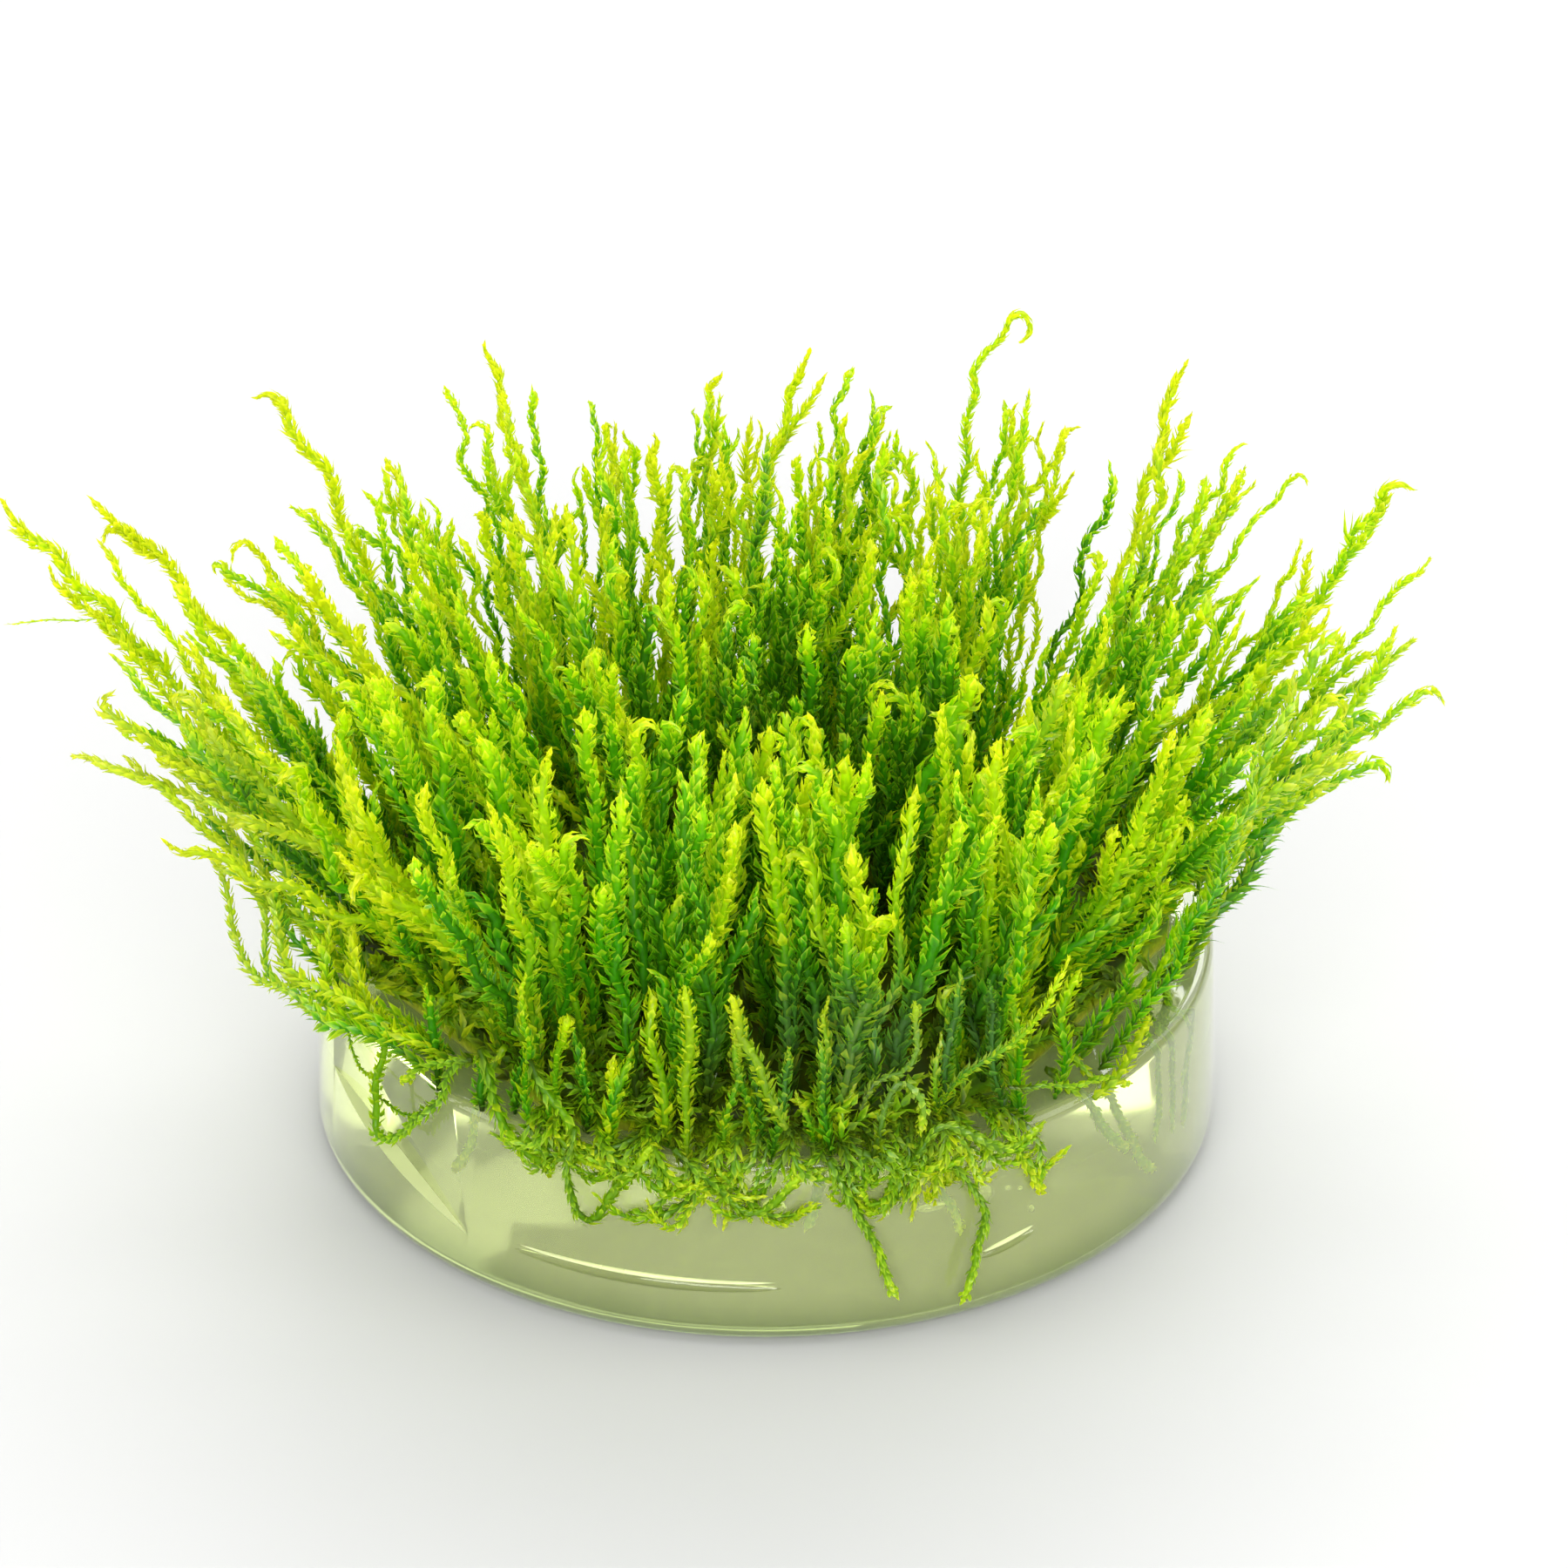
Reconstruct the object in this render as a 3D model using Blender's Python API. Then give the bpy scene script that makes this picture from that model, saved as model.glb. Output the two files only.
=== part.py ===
# A cushion of aquatic moss on a clear disc of nutrient gel.
# Metres, +Z up. The origin is the centre of the gel's underside; the front faces -Y.
import math
import random

import bmesh
import bpy
import numpy as np
from mathutils import Matrix, Vector, noise

MM = 0.001
GAP = 0.3 * MM

# gel disc
GEL_RADIUS = 30.0 * MM
GEL_TOP_RADIUS = 29.5 * MM
GEL_HEIGHT = 13.5 * MM
GEL_FOOT_ROUND = 1.8 * MM
GEL_RIM_ROUND = 0.8 * MM
GEL_SEGMENTS = 44
GEL_TINT = (0.62, 0.7, 0.42, 0.45)

# cuts in the gel's wall: start and end angle, height and width in mm
SLITS = {"slit_long": (238, 272, 4.2, 1.3), "slit_short": (297, 305, 4.9, 1.2)}
SLIT_STEPS = 8
CUTTER_SIDES = 6
CHIP_ANGLE = 216
CHIP_HEIGHT = 4.4 * MM
CHIP_SLOPE = 2.7

# tangled mat on the gel: its rings are (share of the radius, share of the thickness) from top to underside
MAT_RADIUS = 28.2 * MM
MAT_THICKNESS = 2.4 * MM
MAT_CENTRE = Vector((-0.3, -0.5, 0)) * MM
MAT_RINGS = ((0, 1), (0.34, 1), (0.66, 1), (0.9, 0.95), (1, 0.55), (0.97, 0.12), (0.9, 0), (0, 0))
MAT_SEGMENTS = 30
MAT_LUMP = 1.2 * MM
MAT_LUMP_SCALE = 3.1
MAT_HOLLOW = 0.9 * MM
MAT_HOLLOW_SCALE = 9
MAT_OLIVE = (0.09, 0.14, 0.012, 1)

# hubs of the tufts: rings of (reach in mm, number), and the cells of a hub that a shoot grows from
HUB_RINGS = ((0, 1), (8.6, 6), (17.1, 11), (25.0, 16))
HUB_RADIUS = 3.9 * MM
HUB_THICKNESS = 1.2 * MM
HUB_CELLS = ((1, 1), (0, 0), (2, 0), (0, 2), (2, 2))
HUB_GRID = 3

# upright shoots: LEAN values in degrees at the rim; RINGS are (level of the path, share of the width)
SEED = 11
LEVELS = 9
SHOOT_RISE = 22.6 * MM
RISE_RANGE = (0.83, 1.05)
SHOOT_SIDE = 1.5 * MM
SHOOT_RINGS = ((2, 1.0), (5, 0.95), (7, 0.8))
LEAN_SIDE = 34
LEAN_BACK = 8
LEAN_FRONT = 1
LEAN_POWER = 1.4
LEAN_LOSS = 0.18
LEAN_VARIES = 5
TIP_DRIFT = 1.6 * MM
TUFT_SWAY = 1.4 * MM
TUFT_BOW = 2.2 * MM
MIDDLE_PUSH = 0.15
TIP_HOOK = 1.4 * MM
MOSS_GREEN = (0.16, 0.42, 0.012, 1)

# neighbouring shoots push each other apart
SHOOT_CLEARANCE = 2.9 * MM
SETTLE_ROUNDS = 120
PUSH_SHARE = 0.45
EASE_SHARE = 0.12

MAT_BOTTOM = GEL_HEIGHT + GAP
MAT_TOP = MAT_BOTTOM + MAT_THICKNESS
HUB_BOTTOM = MAT_TOP + GAP
HUB_TOP = HUB_BOTTOM + HUB_THICKNESS

# shoots that stand out of the outline: foot (x, y) and the points up to the tip, all in mm
LONE_SHOOTS = {
    "shoot_far_left": [(-28.6, -0.6), (-34.5, 1.5, 25), (-41.3, 3.5, 33), (-49.3, 5.0, 41.6)],
    "shoot_left_drooping": [(-26.4, -11.2), (-32.2, -11.4, 22.6), (-37.4, -10.2, 28.5), (-43.9, -8.0, 30.5)],
    "shoot_left_low": [(-20.6, -20.6), (-27.4, -18.4, 17.6), (-32.8, -13.6, 18.2), (-35.4, -8.0, 23.5)],
    "shoot_left_hooked": [(-26.6, 10.3), (-32.5, 9.4, 24.5), (-38.6, 9.8, 33.5), (-41.9, 10.0, 37.5)],
    "shoot_left_rear": [(-20.4, 19.8), (-26.0, 21.2, 25), (-29.6, 22.8, 34.5), (-33.1, 24.0, 39.8)],
    "shoot_back_left": [(-11.2, 25.8), (-14.6, 27.4, 25), (-17.3, 29.0, 34), (-19.0, 30.0, 40.9)],
    "shoot_back_middle": [(-0.3, 28.1), (-0.8, 29.0, 26), (1.2, 30.4, 35), (2.7, 31.0, 40.1)],
    "shoot_back_looped": [(10.6, 25.8), (13.0, 27.6, 27), (14.2, 30.6, 38), (16.5, 32.0, 41.9)],
    "shoot_back_right": [(19.8, 19.7), (23.6, 22.8, 25), (26.6, 26.4, 35), (28.1, 28.0, 40.6)],
    "shoot_right_hooked": [(26.0, 10.4), (31.6, 12.4, 24.5), (38.2, 13.6, 32.5), (40.9, 14.0, 38.0)],
    "shoot_right_thin": [(28.2, -0.5), (32.8, 3.6, 23), (38.2, 7.6, 29.6), (43.5, 10.0, 35.2)],
    "shoot_right_low": [(26.0, -11.3), (31.6, -6.0, 21.5), (37.0, 0.2, 27.5), (41.1, 4.0, 32.9)],
    "shoot_right_curled": [(19.9, -20.6), (25.0, -18.4, 21.5), (30.4, -14.6, 31), (33.4, -10.0, 37.3)],
    "shoot_front_right": [(10.6, -26.8), (13.6, -28.6, 20.4), (17.2, -29.2, 24.4), (18.4, -28.4, 27.7)],
}
LONE_RINGS = 9
LONE_SIDES = 5
LEAFY_WIDTH = 2.1 * MM
STEM_WIDTH = 1.3 * MM
TIP_GREEN = (0.36, 0.6, 0.02, 1)

# stems on the gel's wall: (angle in degrees, height in mm) along the wall
WALL_STEMS = {
    "trailing_stem_loop": [(247.4, 15.2), (246.4, 11.9), (247.2, 9.2), (249.6, 9.0), (252.6, 11.4),
                           (256.7, 14.9)],
    "trailing_stem_middle": [(277.5, 14.2), (279.7, 11.6), (282.4, 8.4), (285.5, 3.7)],
    "trailing_stem_right": [(292.6, 12.6), (295.7, 10.0), (296.3, 7.2), (293.6, 2.4)],
    "creeping_stem_left": [(259.5, 14.9), (264.0, 12.4), (268.6, 10.6), (274.5, 13.4)],
    "creeping_stem_right": [(281.5, 14.6), (286.5, 13.0), (291.0, 15.6), (299.5, 12.6), (304.5, 13.8)],
}
WALL_STEM_RINGS = 8
WALL_STEM_WIDE = 1.65 * MM
WALL_STEM_NARROW = 1.275 * MM
WALL_STEM_OFFSET = 1.25 * MM

# stems that go down into the gel: (x, y, z) in mm, from above the gel's top to the buried tip
SUNK_STEMS = {
    "sunk_stem_right": [(25.6, -6.2, 13.4), (25.9, -7.6, 9.5), (25.0, -8.4, 3.4)],
    "sunk_stem_front": [(3.4, -24.2, 13.4), (3.2, -25.0, 10.4), (2.6, -25.6, 6.8)],
}
SUNK_STEM_WIDTH = 1.1 * MM
SUNK_STEM_RINGS = 5
POCKET_RISE = 2 * MM
POCKET_END = 0.6 * MM
POCKET_WIDTH = SUNK_STEM_WIDTH + 2.4 * GAP


def clear_scene():
    for item in list(bpy.data.objects):
        bpy.data.objects.remove(item, do_unlink=True)


def material(name, colour, roughness):
    finish = bpy.data.materials.new(name)
    finish.use_nodes = True
    surface = finish.node_tree.nodes["Principled BSDF"]
    surface.inputs["Base Color"].default_value = colour
    surface.inputs["Alpha"].default_value = colour[3]
    surface.inputs["Roughness"].default_value = roughness
    surface.inputs["Metallic"].default_value = 0.0
    return finish


def add_object(name, bm, finish, smooth_angle=None):
    """Turns a bmesh into a named object with its own material."""
    bmesh.ops.recalc_face_normals(bm, faces=bm.faces)
    mesh = bpy.data.meshes.new(name)
    bm.to_mesh(mesh)
    bm.free()
    mesh.materials.append(finish)
    if smooth_angle is not None:
        mesh.shade_smooth()
        mesh.set_sharp_from_angle(angle=math.radians(smooth_angle))
    item = bpy.data.objects.new(name, mesh)
    bpy.context.scene.collection.objects.link(item)
    return item


def smooth_points(points, count):
    """A Catmull-Rom curve through the given points, read at evenly spaced parameters."""
    pts = [Vector(p) for p in points]
    ends = [2 * pts[0] - pts[1]] + pts + [2 * pts[-1] - pts[-2]]
    out = []
    for step in range(count):
        place = step / (count - 1) * (len(pts) - 1)
        i = min(int(place), len(pts) - 2)
        t = place - i
        a, b, c, d = ends[i:i + 4]
        out.append(0.5 * (2 * b + (c - a) * t + (2 * a - 5 * b + 4 * c - d) * t ** 2
                          + (3 * b - a - 3 * c + d) * t ** 3))
    return out


def ring_frames(points):
    """A direction and two steady side vectors at each point of a path."""
    frames = []
    side = Vector((1, 0, 0))
    for i, point in enumerate(points):
        ahead = points[min(i + 1, len(points) - 1)] - points[max(i - 1, 0)]
        ahead.normalize()
        side = (side - side.dot(ahead) * ahead).normalized()
        frames.append((point, ahead, side, ahead.cross(side)))
    return frames


def add_tube(bm, points, widths, sides):
    """A closed tube round the path: one ring for each width, and a point at the tip."""
    rings = []
    for i, (point, ahead, side, up) in enumerate(ring_frames(points)):
        if i == len(points) - 1:
            tip = bm.verts.new(point)
            break
        turn = i * math.pi / sides
        ring = []
        for k in range(sides):
            angle = turn + 2 * math.pi * k / sides
            ring.append(bm.verts.new(point + widths[i] / 2 * (math.cos(angle) * side + math.sin(angle) * up)))
        rings.append(ring)
    bm.faces.new(rings[0][::-1])
    for low, high in zip(rings, rings[1:]):
        for k in range(sides):
            n = (k + 1) % sides
            bm.faces.new((low[k], low[n], high[k]))
            bm.faces.new((low[n], high[n], high[k]))
    for k in range(sides):
        bm.faces.new((rings[-1][k], rings[-1][(k + 1) % sides], tip))


def gel_profile():
    """(radius, height) points from the middle of the underside to the middle of the top."""
    foot = GEL_RADIUS - GEL_FOOT_ROUND
    rim = GEL_TOP_RADIUS - GEL_RIM_ROUND
    points = [(0, 0), (foot, 0)]
    for degrees in (-60, -30, 0):
        a = math.radians(degrees)
        points.append((foot + GEL_FOOT_ROUND * math.cos(a), GEL_FOOT_ROUND * (1 + math.sin(a))))
    for degrees in (0, 45, 90):
        a = math.radians(degrees)
        points.append((rim + GEL_RIM_ROUND * math.cos(a), GEL_HEIGHT - GEL_RIM_ROUND * (1 - math.sin(a))))
    points.append((0, GEL_HEIGHT))
    return points


def add_cutter(name, points, widths):
    """A guide tube that the gel is cut with."""
    bm = bmesh.new()
    add_tube(bm, points, widths, CUTTER_SIDES)
    cutter = add_object(name, bm, bpy.data.materials["gel"])
    cutter.hide_render = True
    cutter.display_type = "WIRE"
    return cutter


def wall_point(angle, height, radius):
    a = math.radians(angle)
    return Vector((radius * math.cos(a), radius * math.sin(a), height))


def wall_radius(height):
    """The gel's radius at a height above its rounded foot."""
    share = (height - GEL_FOOT_ROUND) / (GEL_HEIGHT - GEL_RIM_ROUND - GEL_FOOT_ROUND)
    return GEL_RADIUS + (GEL_TOP_RADIUS - GEL_RADIUS) * min(max(share, 0), 1)


def chip_rim(bm):
    """Splits off the front left rim along one steep facet."""
    out = wall_point(CHIP_ANGLE, 0, 1)
    normal = (out * CHIP_SLOPE + Vector((0, 0, 1))).normalized()
    low_edge = wall_point(CHIP_ANGLE, CHIP_HEIGHT, GEL_RADIUS)
    cut = bmesh.ops.bisect_plane(bm, geom=bm.verts[:] + bm.edges[:] + bm.faces[:], plane_co=low_edge,
                                 plane_no=normal, clear_outer=True)
    rim = [e for e in cut["geom_cut"] if isinstance(e, bmesh.types.BMEdge)]
    bmesh.ops.contextual_create(bm, geom=rim)


def build_gel():
    bm = bmesh.new()
    profile = [bm.verts.new((r, 0, z)) for r, z in gel_profile()]
    edges = [bm.edges.new(pair) for pair in zip(profile, profile[1:])]
    bmesh.ops.spin(bm, geom=profile + edges, cent=(0, 0, 0), axis=(0, 0, 1), angle=2 * math.pi,
                   steps=GEL_SEGMENTS, use_merge=True)
    bmesh.ops.remove_doubles(bm, verts=bm.verts, dist=0.001 * MM)
    chip_rim(bm)
    gel = add_object("gel_disc", bm, material("gel", GEL_TINT, 0.1), 25)
    cutters = []
    for name, (start, end, height, width) in SLITS.items():
        steps = range(SLIT_STEPS + 1)
        path = [wall_point(start + (end - start) * i / SLIT_STEPS, height * MM, GEL_RADIUS) for i in steps]
        # thin at both ends, but never of no width
        widths = [width * MM * math.sin(math.pi * (i + 0.35) / (SLIT_STEPS + 0.7)) for i in steps]
        cutters.append(add_cutter(name, path, widths))
    for name, points in SUNK_STEMS.items():
        path = smooth_points([Vector(p) * MM for p in points], SUNK_STEM_RINGS + 1)
        path[0].z += POCKET_RISE
        path[-1] += (path[-1] - path[-2]).normalized() * POCKET_END
        cutters.append(add_cutter(name + "_pocket", path, [POCKET_WIDTH] * SUNK_STEM_RINGS))
    for cutter in cutters:
        cut = gel.modifiers.new(cutter.name, "BOOLEAN")
        cut.operation = "DIFFERENCE"
        cut.solver = "EXACT"
        cut.object = cutter


def build_mat():
    """A lumpy pad of tangled stems with a ragged edge."""
    bm = bmesh.new()
    loops = []
    for share, level in MAT_RINGS:
        if share == 0:
            loops.append([bm.verts.new(MAT_CENTRE + Vector((0, 0, MAT_BOTTOM + level * MAT_THICKNESS)))])
            continue
        loop = []
        for k in range(MAT_SEGMENTS):
            a = 2 * math.pi * k / MAT_SEGMENTS
            out = Vector((math.cos(a), math.sin(a), 0))
            lump = noise.noise(out * MAT_LUMP_SCALE + Vector((0, 0, 5)))
            hollow = noise.noise(out * share * MAT_HOLLOW_SCALE + Vector((7, 0, level)))
            spot = MAT_CENTRE + out * share * (MAT_RADIUS + MAT_LUMP * lump * share)
            spot.z = MAT_BOTTOM + level * MAT_THICKNESS - MAT_HOLLOW * abs(hollow) * level
            loop.append(bm.verts.new(spot))
        loops.append(loop)
    for low, high in zip(loops, loops[1:]):
        for k in range(MAT_SEGMENTS):
            n = (k + 1) % MAT_SEGMENTS
            corners = [low[k % len(low)], low[n % len(low)], high[n % len(high)], high[k % len(high)]]
            bm.faces.new(list(dict.fromkeys(corners)))
    add_object("moss_mat", bm, material("moss_mat", MAT_OLIVE, 0.8), 60)


def hub_cell(u, v):
    """A point of the square grid from -1 to 1, moved onto a round hub."""
    return Vector((u * math.sqrt(1 - v * v / 2), v * math.sqrt(1 - u * u / 2), 0)) * HUB_RADIUS


def hub_layout():
    """Hub centres on rings round the mat's centre, and how far each hub is turned."""
    rng = random.Random(SEED)
    hubs = []
    for reach, count in HUB_RINGS:
        for k in range(count):
            a = 2 * math.pi * (k + 0.5) / count
            out = Vector((math.cos(a), math.sin(a), 0)) * reach * MM
            hubs.append((MAT_CENTRE + out + Vector((0, 0, HUB_TOP)), rng.uniform(0, math.pi / 2)))
    return hubs


def shoot_tip(foot, rng, sway):
    """The tip of the shoot at foot: it leans out more towards the rim, and most at the sides."""
    flat = Vector((foot.x, foot.y, 0)) - MAT_CENTRE
    share = min(flat.length / MAT_RADIUS, 1)
    out = flat.normalized() if flat.length > 0 else Vector((1, 0, 0))
    lean = LEAN_SIDE * out.x ** 2 + (LEAN_BACK if out.y > 0 else LEAN_FRONT) * out.y ** 2
    lean = math.radians(lean * share ** LEAN_POWER + rng.uniform(-LEAN_VARIES, LEAN_VARIES))
    rise = SHOOT_RISE * rng.uniform(*RISE_RANGE) * (1 - LEAN_LOSS * out.x ** 2 * share)
    across = Vector((-out.y, out.x, 0)) * rng.uniform(-1, 1) * TIP_DRIFT
    tip = foot + out * rise * math.tan(lean) + Vector((0, 0, rise))
    return tip + across + sway


def shoot_curve(foot, tip, rng, bow):
    """A path that leaves the foot leaning out, rises more steeply further up and hooks at the tip."""
    middle = (foot + tip) / 2 + Vector((tip.x - foot.x, tip.y - foot.y, 0)) * MIDDLE_PUSH + bow
    hook = Vector((rng.uniform(-1, 1), rng.uniform(-1, 1), 0)) * TIP_HOOK
    path = []
    for k in range(LEVELS):
        t = k / (LEVELS - 1)
        point = (1 - t) ** 2 * foot + 2 * t * (1 - t) * middle + t * t * tip
        path.append(point + hook * t ** 4)
    return path


def settle(paths, fixed):
    """Pushes neighbouring shoots apart, while their feet and the first paths, as many as fixed says, stay."""
    count = len(paths)
    points = np.array([[tuple(p) for p in path] for path in paths])
    owner = np.repeat(np.arange(count), LEVELS)
    held = np.array([[k == 0 or i < fixed for k in range(LEVELS)] for i in range(count)]).ravel()
    flat = points.reshape(-1, 3)
    for _ in range(SETTLE_ROUNDS):
        apart = flat[:, None, :] - flat[None, :, :]
        gap = np.sqrt((apart ** 2).sum(2)) + 1e-9
        near = (gap < SHOOT_CLEARANCE) & (owner[:, None] != owner[None, :])
        push = np.where(near, (SHOOT_CLEARANCE - gap) / gap, 0)[:, :, None] * apart
        step = push.sum(1) * PUSH_SHARE
        step[held] = 0
        flat = flat + step
        bend = flat.reshape(count, LEVELS, 3)
        eased = bend.copy()
        eased[:, 1:-1] += EASE_SHARE * (bend[:, 2:] + bend[:, :-2] - 2 * bend[:, 1:-1])
        flat = np.where(held[:, None], flat, eased.reshape(-1, 3))
    return [[Vector(p) for p in path] for path in flat.reshape(count, LEVELS, 3)]


def lone_path(points):
    foot = Vector((points[0][0] * MM, points[0][1] * MM, HUB_BOTTOM))
    return smooth_points([foot] + [Vector(p) * MM for p in points[1:]], LEVELS)


def tuft_feet():
    """The feet of each tuft's five shoots: the corner cells and the middle cell of its hub."""
    feet = []
    for centre, turn in hub_layout():
        spin = Matrix.Rotation(turn, 3, "Z")
        for column, row in HUB_CELLS:
            corners = [hub_cell((column + i) * 2 / HUB_GRID - 1, (row + j) * 2 / HUB_GRID - 1)
                       for i in (0, 1) for j in (0, 1)]
            feet.append(centre + spin @ (sum(corners, Vector()) / 4))
    return feet


def all_paths():
    """Every upright shoot's path: the lone shoots first, then five for each tuft."""
    rng = random.Random(SEED + 1)
    paths = [lone_path(points) for points in LONE_SHOOTS.values()]
    feet = tuft_feet()
    for i, foot in enumerate(feet):
        if i % len(HUB_CELLS) == 0:
            sway = Vector((rng.uniform(-1, 1), rng.uniform(-1, 1), 0)) * TUFT_SWAY
            bow = Vector((rng.uniform(-1, 1), rng.uniform(-1, 1), 0)) * TUFT_BOW
        paths.append(shoot_curve(foot, shoot_tip(foot, rng, sway), rng, bow))
    return settle(paths, len(LONE_SHOOTS))


def grow_shoot(bm, cell, path):
    """Raises one face of the hub along a path, ring by ring, and closes it in a point."""
    middle = cell.calc_center_median()
    offsets = [(v.co - middle).normalized() for v in cell.verts]
    for level, width in SHOOT_RINGS:
        cell = bmesh.ops.extrude_discrete_faces(bm, faces=[cell])["faces"][0]
        ahead = path[level + 1] - path[level - 1]
        tilt = Vector((0, 0, 1)).rotation_difference(ahead)
        for vert, offset in zip(cell.verts, offsets):
            flat = Vector((offset.x, offset.y, 0)) * SHOOT_SIDE * width / math.sqrt(2)
            vert.co = path[level] + tilt @ flat
    bmesh.ops.poke(bm, faces=[cell])["verts"][0].co = path[-1]


def verts_of(faces):
    return list({v for f in faces for v in f.verts})


def build_tuft(index, centre, turn, paths, finish):
    """A root hub with five shoots growing out of it."""
    bm = bmesh.new()
    bmesh.ops.create_grid(bm, x_segments=HUB_GRID, y_segments=HUB_GRID, size=1)
    spin = Matrix.Rotation(turn, 3, "Z")
    for vert in bm.verts:
        vert.co = spin @ hub_cell(vert.co.x, vert.co.y)
    underside = bm.faces[:]
    top = bmesh.ops.extrude_face_region(bm, geom=underside, use_keep_orig=True)["geom"]
    top_faces = [f for f in top if isinstance(f, bmesh.types.BMFace)]
    bmesh.ops.translate(bm, verts=verts_of(underside), vec=(0, 0, -HUB_THICKNESS))
    bmesh.ops.dissolve_faces(bm, faces=underside)
    bmesh.ops.recalc_face_normals(bm, faces=bm.faces)
    local = [[p - centre for p in path] for path in paths]
    for path in local:
        free = (f for f in top_faces if f.is_valid)
        cell = min(free, key=lambda f: (f.calc_center_median() - path[0]).length)
        top_faces.remove(cell)
        grow_shoot(bm, cell, path)
    tuft = add_object(f"moss_tuft_{index + 1:02d}", bm, finish, 50)
    tuft.location = centre


def build_lone_shoot(name, path, finish):
    """One leafy shoot: its width goes in and out with the leaves and ends in a point."""
    bm = bmesh.new()
    points = smooth_points(path, LONE_RINGS + 1)
    widths = [STEM_WIDTH if k % 2 == 0 else LEAFY_WIDTH for k in range(LONE_RINGS)]
    add_tube(bm, points, widths, LONE_SIDES)
    add_object(name, bm, finish, 50)


def build_wall_stem(name, points, finish):
    """A leafy stem that lies on the gel's wall."""
    path = [wall_point(a, h * MM, wall_radius(h * MM) + WALL_STEM_OFFSET) for a, h in points]
    bm = bmesh.new()
    path = smooth_points(path, WALL_STEM_RINGS + 1)
    widths = [WALL_STEM_NARROW if k % 2 == 0 else WALL_STEM_WIDE for k in range(WALL_STEM_RINGS)]
    add_tube(bm, path, widths, LONE_SIDES)
    add_object(name, bm, finish, 50)


def build_sunk_stem(name, points, finish):
    """A thin stem in its pocket in the gel."""
    bm = bmesh.new()
    path = smooth_points([Vector(p) * MM for p in points], SUNK_STEM_RINGS + 1)
    add_tube(bm, path, [SUNK_STEM_WIDTH] * SUNK_STEM_RINGS, LONE_SIDES)
    add_object(name, bm, finish, 50)


def main():
    clear_scene()
    build_gel()
    build_mat()
    tuft_green = material("moss_tuft", MOSS_GREEN, 0.55)
    lone_green = material("moss_tip", TIP_GREEN, 0.5)
    paths = all_paths()
    lone, grouped = paths[:len(LONE_SHOOTS)], paths[len(LONE_SHOOTS):]
    for name, path in zip(LONE_SHOOTS, lone):
        build_lone_shoot(name, path, lone_green)
    for i, (centre, turn) in enumerate(hub_layout()):
        first = i * len(HUB_CELLS)
        build_tuft(i, centre, turn, grouped[first:first + len(HUB_CELLS)], tuft_green)
    for name, points in WALL_STEMS.items():
        build_wall_stem(name, points, lone_green)
    for name, points in SUNK_STEMS.items():
        build_sunk_stem(name, points, lone_green)


main()
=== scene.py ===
import math
import random

import bmesh
import bpy
import numpy as np
from mathutils import Matrix, Vector


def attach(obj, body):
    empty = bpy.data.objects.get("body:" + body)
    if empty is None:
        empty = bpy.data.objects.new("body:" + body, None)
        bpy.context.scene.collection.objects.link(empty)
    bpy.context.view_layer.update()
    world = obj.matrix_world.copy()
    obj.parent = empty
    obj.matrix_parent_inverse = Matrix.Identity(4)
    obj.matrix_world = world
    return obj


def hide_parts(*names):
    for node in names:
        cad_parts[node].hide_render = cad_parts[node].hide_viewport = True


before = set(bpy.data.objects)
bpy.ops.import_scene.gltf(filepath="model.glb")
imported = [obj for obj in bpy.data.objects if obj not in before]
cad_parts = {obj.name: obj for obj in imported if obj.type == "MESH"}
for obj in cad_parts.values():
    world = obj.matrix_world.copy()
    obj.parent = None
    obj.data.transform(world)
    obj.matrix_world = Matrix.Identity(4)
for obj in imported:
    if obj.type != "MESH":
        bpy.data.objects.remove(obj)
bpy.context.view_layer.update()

mm = 0.001
golden = math.pi * (3 - math.sqrt(5))
dice = np.random.default_rng(5)
scene = bpy.context.scene


# selection helpers

def selectNothing():
    if bpy.context.object and bpy.context.object.mode != "OBJECT":
        bpy.ops.object.mode_set(mode="OBJECT")
    bpy.ops.object.select_all(action="DESELECT")


def pickOnly(item):
    selectNothing()
    item.select_set(True)
    bpy.context.view_layer.objects.active = item


def editWhere(item, wanted, kind="VERT"):
    # leaves the item in edit mode with only the wanted verts, edges or faces selected
    pickOnly(item)
    bpy.ops.object.mode_set(mode="EDIT")
    bpy.ops.mesh.select_mode(type=kind)
    bpy.ops.mesh.select_all(action="DESELECT")
    edit = bmesh.from_edit_mesh(item.data)
    for part in {"VERT": edit.verts, "EDGE": edit.edges, "FACE": edit.faces}[kind]:
        if wanted(part):
            part.select_set(True)
    edit.select_flush_mode()
    bmesh.update_edit_mesh(item.data)


def applyModifiers(item):
    pickOnly(item)
    for modifier in list(item.modifiers):
        bpy.ops.object.modifier_apply(modifier=modifier.name)


def bakePlace(item):
    pickOnly(item)
    bpy.ops.object.transform_apply(location=True, rotation=True, scale=True)


# node helpers

def addNode(tree, kind, settings=None, values=None):
    made = tree.nodes.new(kind)
    for key, value in (settings or {}).items():
        setattr(made, key, value)
    for key, value in (values or {}).items():
        made.inputs[key].default_value = value
    return made


def join(tree, source, target):
    tree.links.new(source, target)


def mathNode(tree, operation, first, second, clamp=False):
    made = addNode(tree, "ShaderNodeMath", {"operation": operation, "use_clamp": clamp})
    for socket, value in zip(made.inputs, (first, second)):
        if isinstance(value, (int, float)):
            socket.default_value = value
        else:
            join(tree, value, socket)
    return made.outputs[0]


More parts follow.
